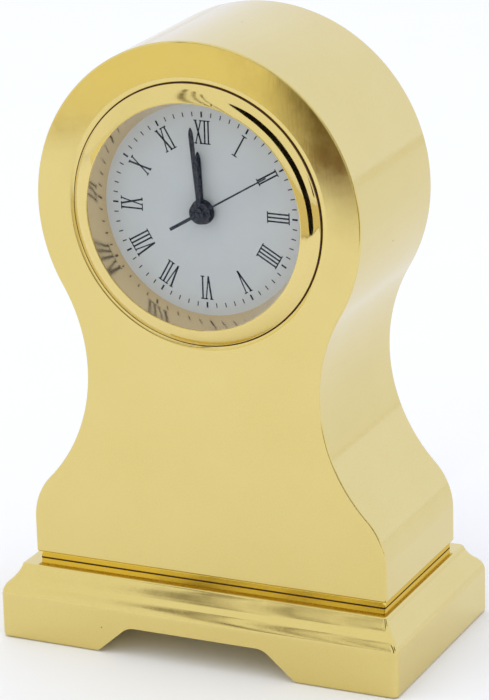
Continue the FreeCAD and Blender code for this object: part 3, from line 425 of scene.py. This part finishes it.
def case_outline():
    """The waisted outline, anticlockwise from the foot's right corner: points and outward
    normals."""
    waist_x = math.sqrt((ARCH_R + WAIST_R) ** 2 - (AXIS_Z - WAIST_Z) ** 2)
    flare_x = FOOT_X - FLARE_R
    flare_z = WAIST_Z - math.sqrt((WAIST_R + FLARE_R) ** 2 - (waist_x - flare_x) ** 2)
    hip = math.degrees(math.atan2(WAIST_Z - flare_z, waist_x - flare_x))
    neck = math.degrees(math.atan2(AXIS_Z - WAIST_Z, waist_x))
    points = []
    for n in map(unit, np.linspace(-90, 0, 7)[:-1]):
        corner = (FOOT_X - FOOT_CORNER * (1 - n[0]), FOOT_Z + FOOT_CORNER * (1 + n[1]))
        points.append((corner, n))
    for n in map(unit, np.linspace(0, hip, 24)):
        points.append(((flare_x + FLARE_R * n[0], flare_z + FLARE_R * n[1]), n))
    for inward in map(unit, np.linspace(180 + hip, 180 - neck, 56)[1:]):
        n = (-inward[0], -inward[1])
        points.append(((waist_x - WAIST_R * n[0], WAIST_Z - WAIST_R * n[1]), n))
    for n in map(unit, np.linspace(-neck, 90, 76)[1:]):
        points.append(((ARCH_R * n[0], AXIS_Z + ARCH_R * n[1]), n))
    left = [((-p[0], p[1]), (-n[0], n[1])) for p, n in reversed(points[:-1])]
    return points + left


def inset_outline(outline, inset, y):
    """The outline moved inwards by `inset`, at depth y."""
    return [(p[0] - n[0] * inset, y, p[1] - n[1] * inset) for p, n in outline]


def fill_between(bm, outer, inner):
    """A flat face with a round hole: both loops of edges are filled with triangles."""
    edges = []
    for ring in (outer, inner):
        for i, vert in enumerate(ring):
            pair = (vert, ring[(i + 1) % len(ring)])
            edges.append(bm.edges.get(pair) or bm.edges.new(pair))
    bmesh.ops.triangle_fill(bm, use_beauty=True, use_dissolve=False, edges=edges)


def skin_rings(bm, rings):
    """Joins rings of points with a band of faces and gives back the rings' vertices."""
    skin = [[bm.verts.new(tuple(c * MM for c in p)) for p in ring] for ring in rings]
    for first, second in zip(skin, skin[1:]):
        for i in range(len(first)):
            j = (i + 1) % len(first)
            bm.faces.new((first[i], first[j], second[j], second[i]))
    return skin


def make_case():
    """The polished case: rounded edges front and back, a stepped bore and a shallow seat for the
    bezel, which leaves the hairline gap round it."""
    outline = case_outline()
    low_y, high_y = CASE_LOW.y, CASE_HIGH.y
    turn = [math.radians(a) for a in (0, 22.5, 45, 67.5, 90)]
    rings = [inset_outline(outline, EDGE_R * (1 - math.sin(t)), low_y + EDGE_R * (1 - math.cos(t)))
             for t in turn]
    rings += [inset_outline(outline, EDGE_R * (1 - math.cos(t)),
                            high_y - EDGE_R * (1 - math.sin(t))) for t in turn]
    bore = [circle_ring(SEAT_R + out, low_y + depth) for out, depth in SEAT_WEAR]
    bore += [circle_ring(radius, y) for radius, y in (
        (SEAT_R, low_y + SEAT_WALL_TOP), (SEAT_R, low_y + SEAT_DEPTH),
        (BORE_R, low_y + SEAT_DEPTH), (BORE_R, low_y + BORE_DEPTH),
        (WINDOW_R, low_y + BORE_DEPTH), (WINDOW_R, high_y - WINDOW_CHAMFER),
        (WINDOW_R + WINDOW_CHAMFER, high_y))]
    bm = bmesh.new()
    skin, tube = skin_rings(bm, rings), skin_rings(bm, bore)
    fill_between(bm, skin[0], tube[0])
    fill_between(bm, skin[-1], tube[-1])
    bmesh.ops.recalc_face_normals(bm, faces=bm.faces)
    mesh = bpy.data.meshes.new("case_shell")
    bm.to_mesh(mesh)
    bm.free()
    obj = add_object("case_shell", mesh)
    shade(obj, 35.0)
    return place(obj, "case", "case_gold", "case_body")


def rectangle_ring(half_x, half_y, z, corner, steps=5):
    """A rectangle with rounded corners."""
    ring = []
    for sx, sy, start in ((1, 1, 0), (-1, 1, 90), (-1, -1, 180), (1, -1, 270)):
        for x, y in arc(sx * (half_x - corner), sy * (half_y - corner), corner,
                        start, start + 90, steps):
            ring.append((x, y, z))
    return ring


# the neck's and the seam's sections as (in from the case's sides, up from its foot)
NECK_LEVELS = [(0.45, 0.12), (0.32, -0.02), (0.30, -0.12), (0.30, -0.60), (0.34, -0.64),
               (0.34, -0.70)]
SEAM_LEVELS = [(0.40, -0.60), (0.30, -0.64), (0.30, -0.70)]
NECK_CORNER = 0.25


def make_neck():
    """The recessed neck between the case and the ledge, in a more saturated copy of the case gold
    that paints the recess's reflected light, and a dark strip of painted shade in the seam at its
    foot.
    """
    middle_y = (CASE_LOW.y + CASE_HIGH.y) / 2
    half_y = (CASE_HIGH.y - CASE_LOW.y) / 2
    # the seam strip wears painted shade, a dark finish laid in the groove where there is only shade
    for name, levels, finish in (("case_neck", NECK_LEVELS, "neck_painted_light_gold"),
                                 ("neck_seam_painted_shade", SEAM_LEVELS, "painted_shade_strip")):
        rings = []
        for inset, rise in levels:
            ring = rectangle_ring(FOOT_X - inset, half_y - inset, FOOT_Z + rise, NECK_CORNER)
            rings.append([(x, y + middle_y, height) for x, y, height in ring])
        verts, faces = loft(rings)
        obj = new_object(name, verts, faces)
        shade(obj, 30.0)
        place(obj, "case", "case_gold", finish=finish)


# ------------------------------------------------------------------ plinth

LEDGE_EDGE_R = 0.22
LEDGE_EDGE_DROP = 0.15
COVE_R, COVE_START, COVE_END = 3.4, 18.0, 50.0
SHOULDER_R = 1.95
FOOT_EDGE_R = 0.4
LEDGE_CORNER, CORNER_GROWTH = 0.40, 0.15
ARCH_TOP_HALF = 6.9
ARCH_HEIGHT = 3.2
ARCH_SLOPE = math.radians(41)
ARCH_SHOULDER_R = 2.0
TOE_R = 1.0
FOOT_INNER_HALF = 11.7
CUT_MARGIN = 1.0
CUT_BEVEL = 0.09


def slope_arc(start, radius, first, last, steps, hollow):
    """An arc of the moulding as (out, down) points. Angles are the surface's lean from vertical."""
    sign = -1.0 if hollow else 1.0

    def normal(lean):
        across, down = unit(lean)
        return Vector((across, -down)) * sign * radius

    centre = Vector(start) - normal(first)
    return [tuple(centre + normal(lean)) for lean in np.linspace(first, last, steps)]


def moulding_profile():
    """The moulding from the ledge's soft edge through its hollow to the round shoulder."""
    cove = slope_arc((0.0, LEDGE_EDGE_DROP), COVE_R, COVE_START, COVE_END, 20, hollow=True)
    edge = slope_arc(cove[0], LEDGE_EDGE_R, COVE_START, 90.0, 8, hollow=False)
    shoulder = slope_arc(cove[-1], SHOULDER_R, COVE_END, 0.0, 20, hollow=False)
    return list(reversed(edge))[:-1] + cove + shoulder[1:]


def arch_shape():
    """The right half of the arch: from its crown's end down its S-shaped shoulder to the foot."""
    points = [(ARCH_TOP_HALF + ARCH_SHOULDER_R * math.sin(t),
               ARCH_HEIGHT - ARCH_SHOULDER_R * (1 - math.cos(t)))
              for t in np.linspace(0, ARCH_SLOPE, 8)]
    points += [(FOOT_INNER_HALF - TOE_R * math.sin(t), TOE_R * (1 - math.cos(t)))
               for t in np.linspace(ARCH_SLOPE, 0, 8)]
    return points


def make_arch_cutter():
    """The block that cuts the arches through from front to back."""
    right = arch_shape()
    outline = [(-x, z) for x, z in reversed(right)] + right
    outline = [(outline[0][0], -CUT_MARGIN)] + outline + [(outline[-1][0], -CUT_MARGIN)]
    reach = PLINTH_HIGH.y + CUT_MARGIN
    rings = [[(x, y, z) for x, z in outline] for y in (-reach, reach)]
    verts, faces = loft(rings)
    return new_object("arch_cutter", verts, faces)


def make_plinth():
    """The bracket plinth: the mitred moulding is lofted and the shallow arches are cut through."""
    profile = moulding_profile()
    reach = profile[-1][0]
    ledge_x, ledge_y = PLINTH_HIGH.x - reach, PLINTH_HIGH.y - reach
    bottom = PLINTH_HIGH.z
    profile += [(reach - FOOT_EDGE_R * (1 - math.cos(t)), bottom - FOOT_EDGE_R * (1 - math.sin(t)))
                for t in np.radians(np.linspace(0, 90, 7))]
    rings = []
    for out, down in profile:
        corner = LEDGE_CORNER + CORNER_GROWTH * min(1.0, max(0.0, out) / reach)
        rings.append(rectangle_ring(ledge_x + out, ledge_y + out, PLINTH_HIGH.z - down, corner, 7))
    verts, faces = loft(rings)
    obj = new_object("plinth_shell", verts, faces)
    cutter = make_arch_cutter()
    cut = obj.modifiers.new("arches", "BOOLEAN")
    cut.operation = "DIFFERENCE"
    cut.solver = "EXACT"
    cut.object = cutter
    bake_modifiers(obj)
    bpy.data.objects.remove(cutter)
    soften = obj.modifiers.new("soften", "BEVEL")
    soften.width = CUT_BEVEL * MM
    soften.segments = 3
    soften.limit_method = "ANGLE"
    soften.angle_limit = math.radians(35)
    bake_modifiers(obj)
    shade(obj, 32.0)
    return place(obj, "case", "plinth_gold", "plinth")


# ------------------------------------------------------------------ bezel, dial wall and boss

BEZEL_RISE = 0.83
BEZEL_LEAN = (44.0, 9.0)
LIP_R = 0.09
CRYSTAL_GAP = 0.02
RIM_DEPTH = 0.24
# how far the dome's foot stands proud of the case, and how far its rolled edge comes in and forward
FOOT_PROUD = 0.02
EDGE_ROLL = 0.05
SPIGOT_BORE_R, SPIGOT_R = 12.0, 12.4
# the dial wall's outside and lip, and its bore at the front, just short of the back and at the back
WALL_R = 11.7
LIP_OUTER_R, LIP_INNER_R = 11.675, 11.655
WALL_FRONT_R, WALL_DIAL_R, WALL_BACK_R = 11.5, 10.97, 10.95
TURNED_SEGMENTS = 256


def make_bezel():
    """The bezel: one gentle dome that climbs inwards from the hairline gap to a thin lip."""
    bore = CRYSTAL_HIGH.x + CRYSTAL_GAP
    foot_y = FACE_Y - FOOT_PROUD
    rim_y = FACE_Y + RIM_DEPTH
    outer = BEZEL_R - EDGE_ROLL
    radii = np.linspace(outer, bore + LIP_R, 28)
    share = (outer - radii) / (radii[0] - radii[-1])
    slope = np.tan(np.radians(BEZEL_LEAN[0] + (BEZEL_LEAN[1] - BEZEL_LEAN[0]) * share))
    climb = np.concatenate([[0.0], np.cumsum((slope[1:] + slope[:-1]) / 2 * -np.diff(radii))])
    climb *= BEZEL_RISE / climb[-1]
    dome = [(r, foot_y - EDGE_ROLL - c) for r, c in zip(radii, climb)]
    lip_y = dome[-1][1]
    lip = [(bore + LIP_R - LIP_R * math.sin(t), lip_y + LIP_R * (1 - math.cos(t)))
           for t in np.radians((25, 50, 75, 90))]
    profile = [(BEZEL_R - 0.02, rim_y), (BEZEL_R, foot_y), (BEZEL_R - 0.015, foot_y - 0.035)]
    profile += dome + lip
    profile += [(bore, CRYSTAL_HIGH.y), (SPIGOT_BORE_R, CRYSTAL_HIGH.y),
                (SPIGOT_BORE_R, BEZEL_HIGH.y), (SPIGOT_R, BEZEL_HIGH.y), (SPIGOT_R, rim_y)]
    obj = lathe("bezel_ring", profile, TURNED_SEGMENTS)
    shade(obj, 50.0)
    return place(obj, "insert", "bezel_gold", "bezel")


# the painted shade ring's turned section as (out from the bezel's edge, depth behind the case's
# face)
GAP_SHADE_SECTION = [(-0.08, SEAT_DEPTH), (0.07, SEAT_DEPTH), (0.08, 0.07), (0.04, 0.04),
                  (-0.08, 0.04)]


def make_bezel_gap_shade():
    """A dark ring of painted shade in the seat, which shows as a hairline between the bezel and the
    case.
    """
    profile = [(BEZEL_R + out, FACE_Y + depth) for out, depth in GAP_SHADE_SECTION]
    obj = lathe("bezel_gap_painted_shade", profile, TURNED_SEGMENTS)
    shade(obj, 50.0)
    return place(obj, "insert", "grip_rubber", finish="painted_shade_strip")


def make_dial_wall():
    """The polished conical wall from the bezel's lip down to the dial, in a paler, pinker copy of
    the bezel gold that paints the dial's reflected light.
    """
    front, back = RING_LOW.y, RING_HIGH.y
    lip_y = CRYSTAL_LOW.y + 0.03
    profile = [(LIP_OUTER_R, lip_y), (LIP_OUTER_R, front), (WALL_R, front), (WALL_R, back),
               (WALL_BACK_R, back), (WALL_DIAL_R, back - 0.06), (WALL_FRONT_R, front),
               (LIP_INNER_R, lip_y)]
    obj = lathe("dial_wall", profile, TURNED_SEGMENTS)
    shade(obj, 30.0)
    return place(obj, "insert", "bezel_gold", "dial_ring", finish="wall_painted_light_gold")


# the boss's turned section as (radius, back from the hand's front face)
BOSS_SECTION = [(0.0, 0.02), (0.52, 0.02), (0.52, -0.04), (0.47, -0.09), (0.38, -0.09),
                (0.34, -0.04), (0.24, -0.04), (0.20, -0.13), (0.0, -0.16)]


def make_hand_boss():
    """The small stepped boss that covers the hub of the seconds hand."""
    profile = [(radius, SECOND_HAND_Y + back) for radius, back in BOSS_SECTION]
    obj = lathe("second_hand_boss", profile, 64)
    shade(obj, 35.0)
    return place(obj, "second_hand", "hand_blue")


# ------------------------------------------------------------------ printed dial

INK_LIFT = 0.012
NUMERALS = ["XII", "I", "II", "III", "IIII", "V", "VI", "VII", "VIII", "IX", "X", "XI"]
NUMERAL_LOW = 6.85
NUMERAL_HIGH = 9.3
STROKE = 0.17
THICK, THIN = STROKE * 1.15, STROKE * 0.75
SERIF = 0.12
LETTER_WIDTH = {"I": 0.40, "V": 0.92, "X": 1.0}
# half the spread of a letter's strokes, half a serif's length, and how far the V's foot is set over
V_HALF, V_SERIF, V_FOOT = 0.30, 0.19, 0.03
X_HALF, X_SERIF = 0.31, 0.17
I_SERIF, LONE_I_SERIF = 0.21, 0.3
# a tick's inner and outer radius and its width
HOUR_TICK = (9.58, 10.18, 0.19)
MINUTE_TICK = (9.66, 10.14, 0.11)


def bar(start, end, width):
    """A straight stroke from start to end as four corners."""
    a, b = Vector(start), Vector(end)
    side = Vector((-(b - a).y, (b - a).x)).normalized() * width / 2
    return [a + side, b + side, b - side, a - side]


def serif(middle, half, at_top):
    end = NUMERAL_HIGH - SERIF / 2 if at_top else NUMERAL_LOW + SERIF / 2
    return bar((middle - half, end), (middle + half, end), SERIF)


def letter_strokes(letter, middle, alone):
    """One letter's strokes: x across, y outwards from the dial's centre."""
    low, high = NUMERAL_LOW, NUMERAL_HIGH
    if letter == "I":
        half = LONE_I_SERIF if alone else I_SERIF
        return [bar((middle, low), (middle, high), STROKE),
                serif(middle, half, False), serif(middle, half, True)]
    if letter == "V":
        foot = (middle + V_FOOT, low)
        return [bar((middle - V_HALF, high), foot, THICK), bar((middle + V_HALF, high), foot, THIN),
                serif(middle - V_HALF, V_SERIF, True), serif(middle + V_HALF, V_SERIF, True)]
    strokes = [bar((middle - X_HALF, high), (middle + X_HALF, low), THICK),
               bar((middle + X_HALF, high), (middle - X_HALF, low), THIN)]
    for side in (-X_HALF, X_HALF):
        strokes += [serif(middle + side, X_SERIF, False), serif(middle + side, X_SERIF, True)]
    return strokes


def numeral_strokes(text):
    """A numeral's strokes, centred on x = 0."""
    x = -sum(LETTER_WIDTH[letter] for letter in text) / 2
    strokes = []
    for letter in text:
        wide = LETTER_WIDTH[letter]
        strokes += letter_strokes(letter, x + wide / 2, len(text) == 1)
        x += wide
    return strokes


def printed(name, shapes):
    """Thin ink on the dial: each shape is a convex polygon in dial coordinates."""
    verts, faces = [], []
    for shape in shapes:
        base = len(verts)
        count = len(shape)
        for lift in (0.0, INK_LIFT):
            verts += [(p[0], DIAL_Y - lift, AXIS_Z + p[1]) for p in shape]
        faces.append(tuple(range(base, base + count)))
        faces.append(tuple(base + count + i for i in reversed(range(count))))
        for i in range(count):
            j = (i + 1) % count
            faces.append((base + j, base + i, base + count + i, base + count + j))
    mesh = bpy.data.meshes.new(name)
    mesh.from_pydata([tuple(c * MM for c in v) for v in verts], [], faces)
    return place(add_object(name, mesh), "insert", "hand_blue")


def turned(points, clockwise_degrees):
    a = math.radians(clockwise_degrees)
    return [(p[0] * math.cos(a) + p[1] * math.sin(a), -p[0] * math.sin(a) + p[1] * math.cos(a))
            for p in points]


def make_dial_print():
    shapes = []
    for hour, text in enumerate(NUMERALS):
        shapes += [turned(stroke, 30 * hour) for stroke in numeral_strokes(text)]
    printed("dial_numerals", shapes)
    ticks = []
    for minute in range(60):
        low, high, width = MINUTE_TICK if minute % 5 else HOUR_TICK
        ticks.append(turned(bar((0, low), (0, high), width), 6 * minute))
    printed("dial_minute_track", ticks)


# ------------------------------------------------------------------ studio

FLOOR_HALF = 3000.0
CARD_LIFT = 0.4
CARD_REACH = 700.0
# the table's front edge lies at -y = TABLE_EDGE - TABLE_SKEW * x
TABLE_EDGE = 150.0
TABLE_SKEW = 0.35
# the bearings, in degrees, over which the blot's left side fades in and its right side fades out
BLOT_LEFT, BLOT_RIGHT = (-22, -19), (-18, -12.5)
# flat cards, each corner an (x, y)
ROOM_CARD = [(-CARD_REACH, -CARD_REACH), (CARD_REACH, -CARD_REACH), (CARD_REACH, -30),
             (-CARD_REACH, -30)]
BACK_CARD = [(23, -5), (CARD_REACH, -5), (CARD_REACH, CARD_REACH), (5, CARD_REACH), (5, 12)]
NEAR_CARD, FAR_CARD = 130.0, 190.0
# standing cards, each corner a (bearing from -Y in degrees, height)
FIGURE = [(29, 6), (39, 6), (42, 14), (41, 47), (35, 82), (25, 118), (10, 150), (-5, 150),
          (-6, 136), (0, 110), (11, 88), (19, 66), (25, 40), (27, 14)]
STREAKS = [[(-19.5, 4), (-17.8, 4), (-36, 240), (-40, 240)],
           [(-15.6, 4), (-14.6, 4), (-28.5, 220), (-30.5, 220)],
           [(-12.5, 4), (-11.5, 4), (-23, 200), (-24.2, 200)]]
FLAG = [(53, 55), (68, 55), (68, 190), (53, 190)]


def make_floor():
    """A plain pale sweep."""
    corners = [(x * FLOOR_HALF, y * FLOOR_HALF, 0) for x, y in ((-1, -1), (1, -1), (1, 1), (-1, 1))]
    obj = new_object("floor", corners, [(0, 1, 2, 3)])
    n = Nodes("floor_paper")
    n.link(n.mix(n.noise(30.0, 3.0), rgb(0.88, 0.88, 0.88), rgb(0.91, 0.91, 0.91)),
           n.shader.inputs["Base Color"])
    n.shader.inputs["Roughness"].default_value = 0.9
    n.bumps((n.noise(1800.0, 3.0), 0.05, 0.0001))
    obj.data.materials.append(n.material)


def reflection_card(name, verts, faces, shade_card):
    """A studio card that only shows up in polished surfaces, as flags and panels do.
    `shade_card` gives its colour and its cover, or None where the card is solid."""
    obj = new_object(name, verts, faces)
    n = Nodes(name)
    n.tree.nodes.remove(n.shader)
    glow = n.add("ShaderNodeEmission")
    colour, cover = shade_card(n)
    n.link(colour, glow.inputs["Color"])
    clear = n.add("ShaderNodeBsdfTransparent")
    blend = n.add("ShaderNodeMixShader", Fac=1.0)
    n.link(clear.outputs[0], blend.inputs[1])
    n.link(glow.outputs[0], blend.inputs[2])
    if cover is not None:
        n.link(cover, blend.inputs["Fac"])
    n.link(blend.outputs[0], n.tree.nodes["Material Output"].inputs["Surface"])
    obj.data.materials.append(n.material)
    obj.visible_camera = False
    obj.visible_diffuse = False
    obj.visible_transmission = False
    obj.visible_shadow = False


def room_shade(n):
    """Beyond the table's edge: a warm mid tone, with a brown blot where someone stands."""
    split = n.add("ShaderNodeSeparateXYZ")
    n.link(n.place, split.inputs["Vector"])
    x, y = split.outputs["X"], split.outputs["Y"]
    ahead = n.math("MULTIPLY", y, -1.0)
    skewed = n.math("ADD", ahead, n.math("MULTIPLY", x, TABLE_SKEW))
    past_edge = n.math("SUBTRACT", skewed, TABLE_EDGE * MM)
    wobble = n.math("MULTIPLY", n.math("SUBTRACT", n.noise(22.0, 3.0), 0.5), 0.016)
    past_edge = n.math("ADD", past_edge, wobble)
    bearing = n.math("ARCTAN2", x, ahead)
    ragged = n.math("MULTIPLY", n.math("SUBTRACT", n.noise(16.0, 4.0), 0.5), 0.10)
    bearing = n.math("ADD", bearing, ragged)
    left_side = n.remap(bearing, 0.0, 1.0, *map(math.radians, BLOT_LEFT))
    right_side = n.remap(bearing, 1.0, 0.25, *map(math.radians, BLOT_RIGHT))
    blot = n.math("MULTIPLY", left_side, right_side)
    rim = n.remap(past_edge, 1.0, 0.0, 0.002, 0.007)
    tone = n.mix(rim, rgb(0.98, 0.91, 0.62), rgb(0.42, 0.33, 0.16))
    cover = n.remap(past_edge, 0.0, 1.0, -0.002, 0.002)
    return n.mix(blot, tone, rgb(0.17, 0.10, 0.05)), cover


def back_shade(n):
    """A slightly cool and bright panel beside and behind the object."""
    split = n.add("ShaderNodeSeparateXYZ")
    n.link(n.place, split.inputs["Vector"])
    cover = n.remap(split.outputs["Y"], 0.0, 0.9, -0.004, 0.03)
    return n.mix(n.noise(9.0, 2.0), rgb(0.90, 0.95, 1.12), rgb(0.95, 0.98, 1.16)), cover


def figure_shade(n):
    """A solid card, all but black."""
    return n.mix(n.noise(14.0, 3.0), rgb(0.002, 0.002, 0.004), rgb(0.010, 0.008, 0.008)), None


def streak_shade(n):
    """Slanting strips in a dark olive brown, thin in places."""
    cover = n.remap(n.noise(40.0, 2.0), 0.55, 0.95, 0.38, 0.55)
    return n.mix(n.noise(30.0, 2.0), rgb(0.07, 0.05, 0.018), rgb(0.20, 0.15, 0.05)), cover


def standing_card(name, outlines, distance, shade_card):
    """Cards stood up round the object, each from (bearing, height) corners."""
    verts, faces = [], []
    for outline in outlines:
        faces.append(tuple(range(len(verts), len(verts) + len(outline))))
        verts += [(distance * math.sin(math.radians(a)), -distance * math.cos(math.radians(a)), z)
                  for a, z in outline]
    reflection_card(name, verts, faces, shade_card)


def flat_card(name, corners, shade_card):
    """A card that lies just above the floor."""
    verts = [(x, y, CARD_LIFT) for x, y in corners]
    reflection_card(name, verts, [tuple(range(len(verts)))], shade_card)


def make_cards():
    flat_card("room_card", ROOM_CARD, room_shade)
    flat_card("back_card", BACK_CARD, back_shade)
    standing_card("figure_card", [FIGURE], NEAR_CARD, figure_shade)
    standing_card("streak_card", STREAKS, FAR_CARD, streak_shade)
    standing_card("flag_card", [FLAG], FAR_CARD, figure_shade)


def make_light(name, position, target, size, power):
    """A square area light that polished surfaces don't show."""
    light = bpy.data.lights.new(name, "AREA")
    light.shape = "RECTANGLE"
    light.size, light.size_y = size * MM, size * MM
    light.energy = power
    obj = add_object(name, light)
    obj.location = Vector(position) * MM
    aim = (Vector(target) - Vector(position)).normalized()
    obj.rotation_euler = aim.to_track_quat("-Z", "Y").to_euler()
    obj.visible_glossy = False


def make_world():
    """A bright, even studio, a little cooler behind the object and white to the camera."""
    world = bpy.data.worlds.new("studio")
    bpy.context.scene.world = world
    world.use_nodes = True
    tree = world.node_tree
    link = tree.links.new
    background = tree.nodes["Background"]
    coord = tree.nodes.new("ShaderNodeTexCoord")
    split = tree.nodes.new("ShaderNodeSeparateXYZ")
    link(coord.outputs["Generated"], split.inputs["Vector"])
    behind = tree.nodes.new("ShaderNodeMapRange")
    behind.inputs["From Min"].default_value = -0.1
    behind.inputs["From Max"].default_value = 0.9
    link(split.outputs["Y"], behind.inputs["Value"])
    mix = tree.nodes.new("ShaderNodeMix")
    mix.data_type = "RGBA"
    link(behind.outputs["Result"], mix.inputs["Factor"])
    mix.inputs[6].default_value = rgb(0.98, 0.99, 1.0)
    mix.inputs[7].default_value = rgb(0.96, 1.02, 1.30)
    path = tree.nodes.new("ShaderNodeLightPath")
    seen = tree.nodes.new("ShaderNodeMix")
    seen.data_type = "RGBA"
    link(path.outputs["Is Camera Ray"], seen.inputs["Factor"])
    link(mix.outputs[2], seen.inputs[6])
    seen.inputs[7].default_value = rgb(1.0, 1.0, 1.0)
    link(seen.outputs[2], background.inputs["Color"])


CAMERA_AZIMUTH, CAMERA_ELEVATION, CAMERA_ROLL = (math.radians(a) for a in (25.64, 18.81, -1.81))
CAMERA_DISTANCE = 369.37
CAMERA_TARGET = Vector((-1.769, 0.3, 29.647))


def make_camera():
    """The view from the right and above, with a long lens."""
    level = math.cos(CAMERA_ELEVATION)
    back = Vector((math.sin(CAMERA_AZIMUTH) * level, -math.cos(CAMERA_AZIMUTH) * level,
                   math.sin(CAMERA_ELEVATION)))
    right = (-back).cross(Vector((0, 0, 1))).normalized()
    up = right.cross(-back)
    turned_right = math.cos(CAMERA_ROLL) * right + math.sin(CAMERA_ROLL) * up
    turned_up = -math.sin(CAMERA_ROLL) * right + math.cos(CAMERA_ROLL) * up
    data = bpy.data.cameras.new("camera")
    data.lens = 184.3
    data.sensor_width = 36.0
    data.shift_x = 0.0302
    data.shift_y = 0.0062
    data.clip_start = 0.01
    data.clip_end = 20.0
    obj = add_object("camera", data)
    rows = Matrix((turned_right, turned_up, back)).transposed().to_4x4()
    rows.translation = (CAMERA_TARGET + back * CAMERA_DISTANCE) * MM
    obj.matrix_world = rows
    bpy.context.scene.camera = obj


dress_frame()
make_case()
make_neck()
make_plinth()
make_bezel()
make_bezel_gap_shade()
make_dial_wall()
make_hand_boss()
make_dial_print()
make_floor()
make_world()
make_cards()
make_light("key", position=(-150, -260, 700), target=(0, 0, 30), size=800, power=1.3)
make_camera()
bpy.context.scene.view_settings.view_transform = "Standard"
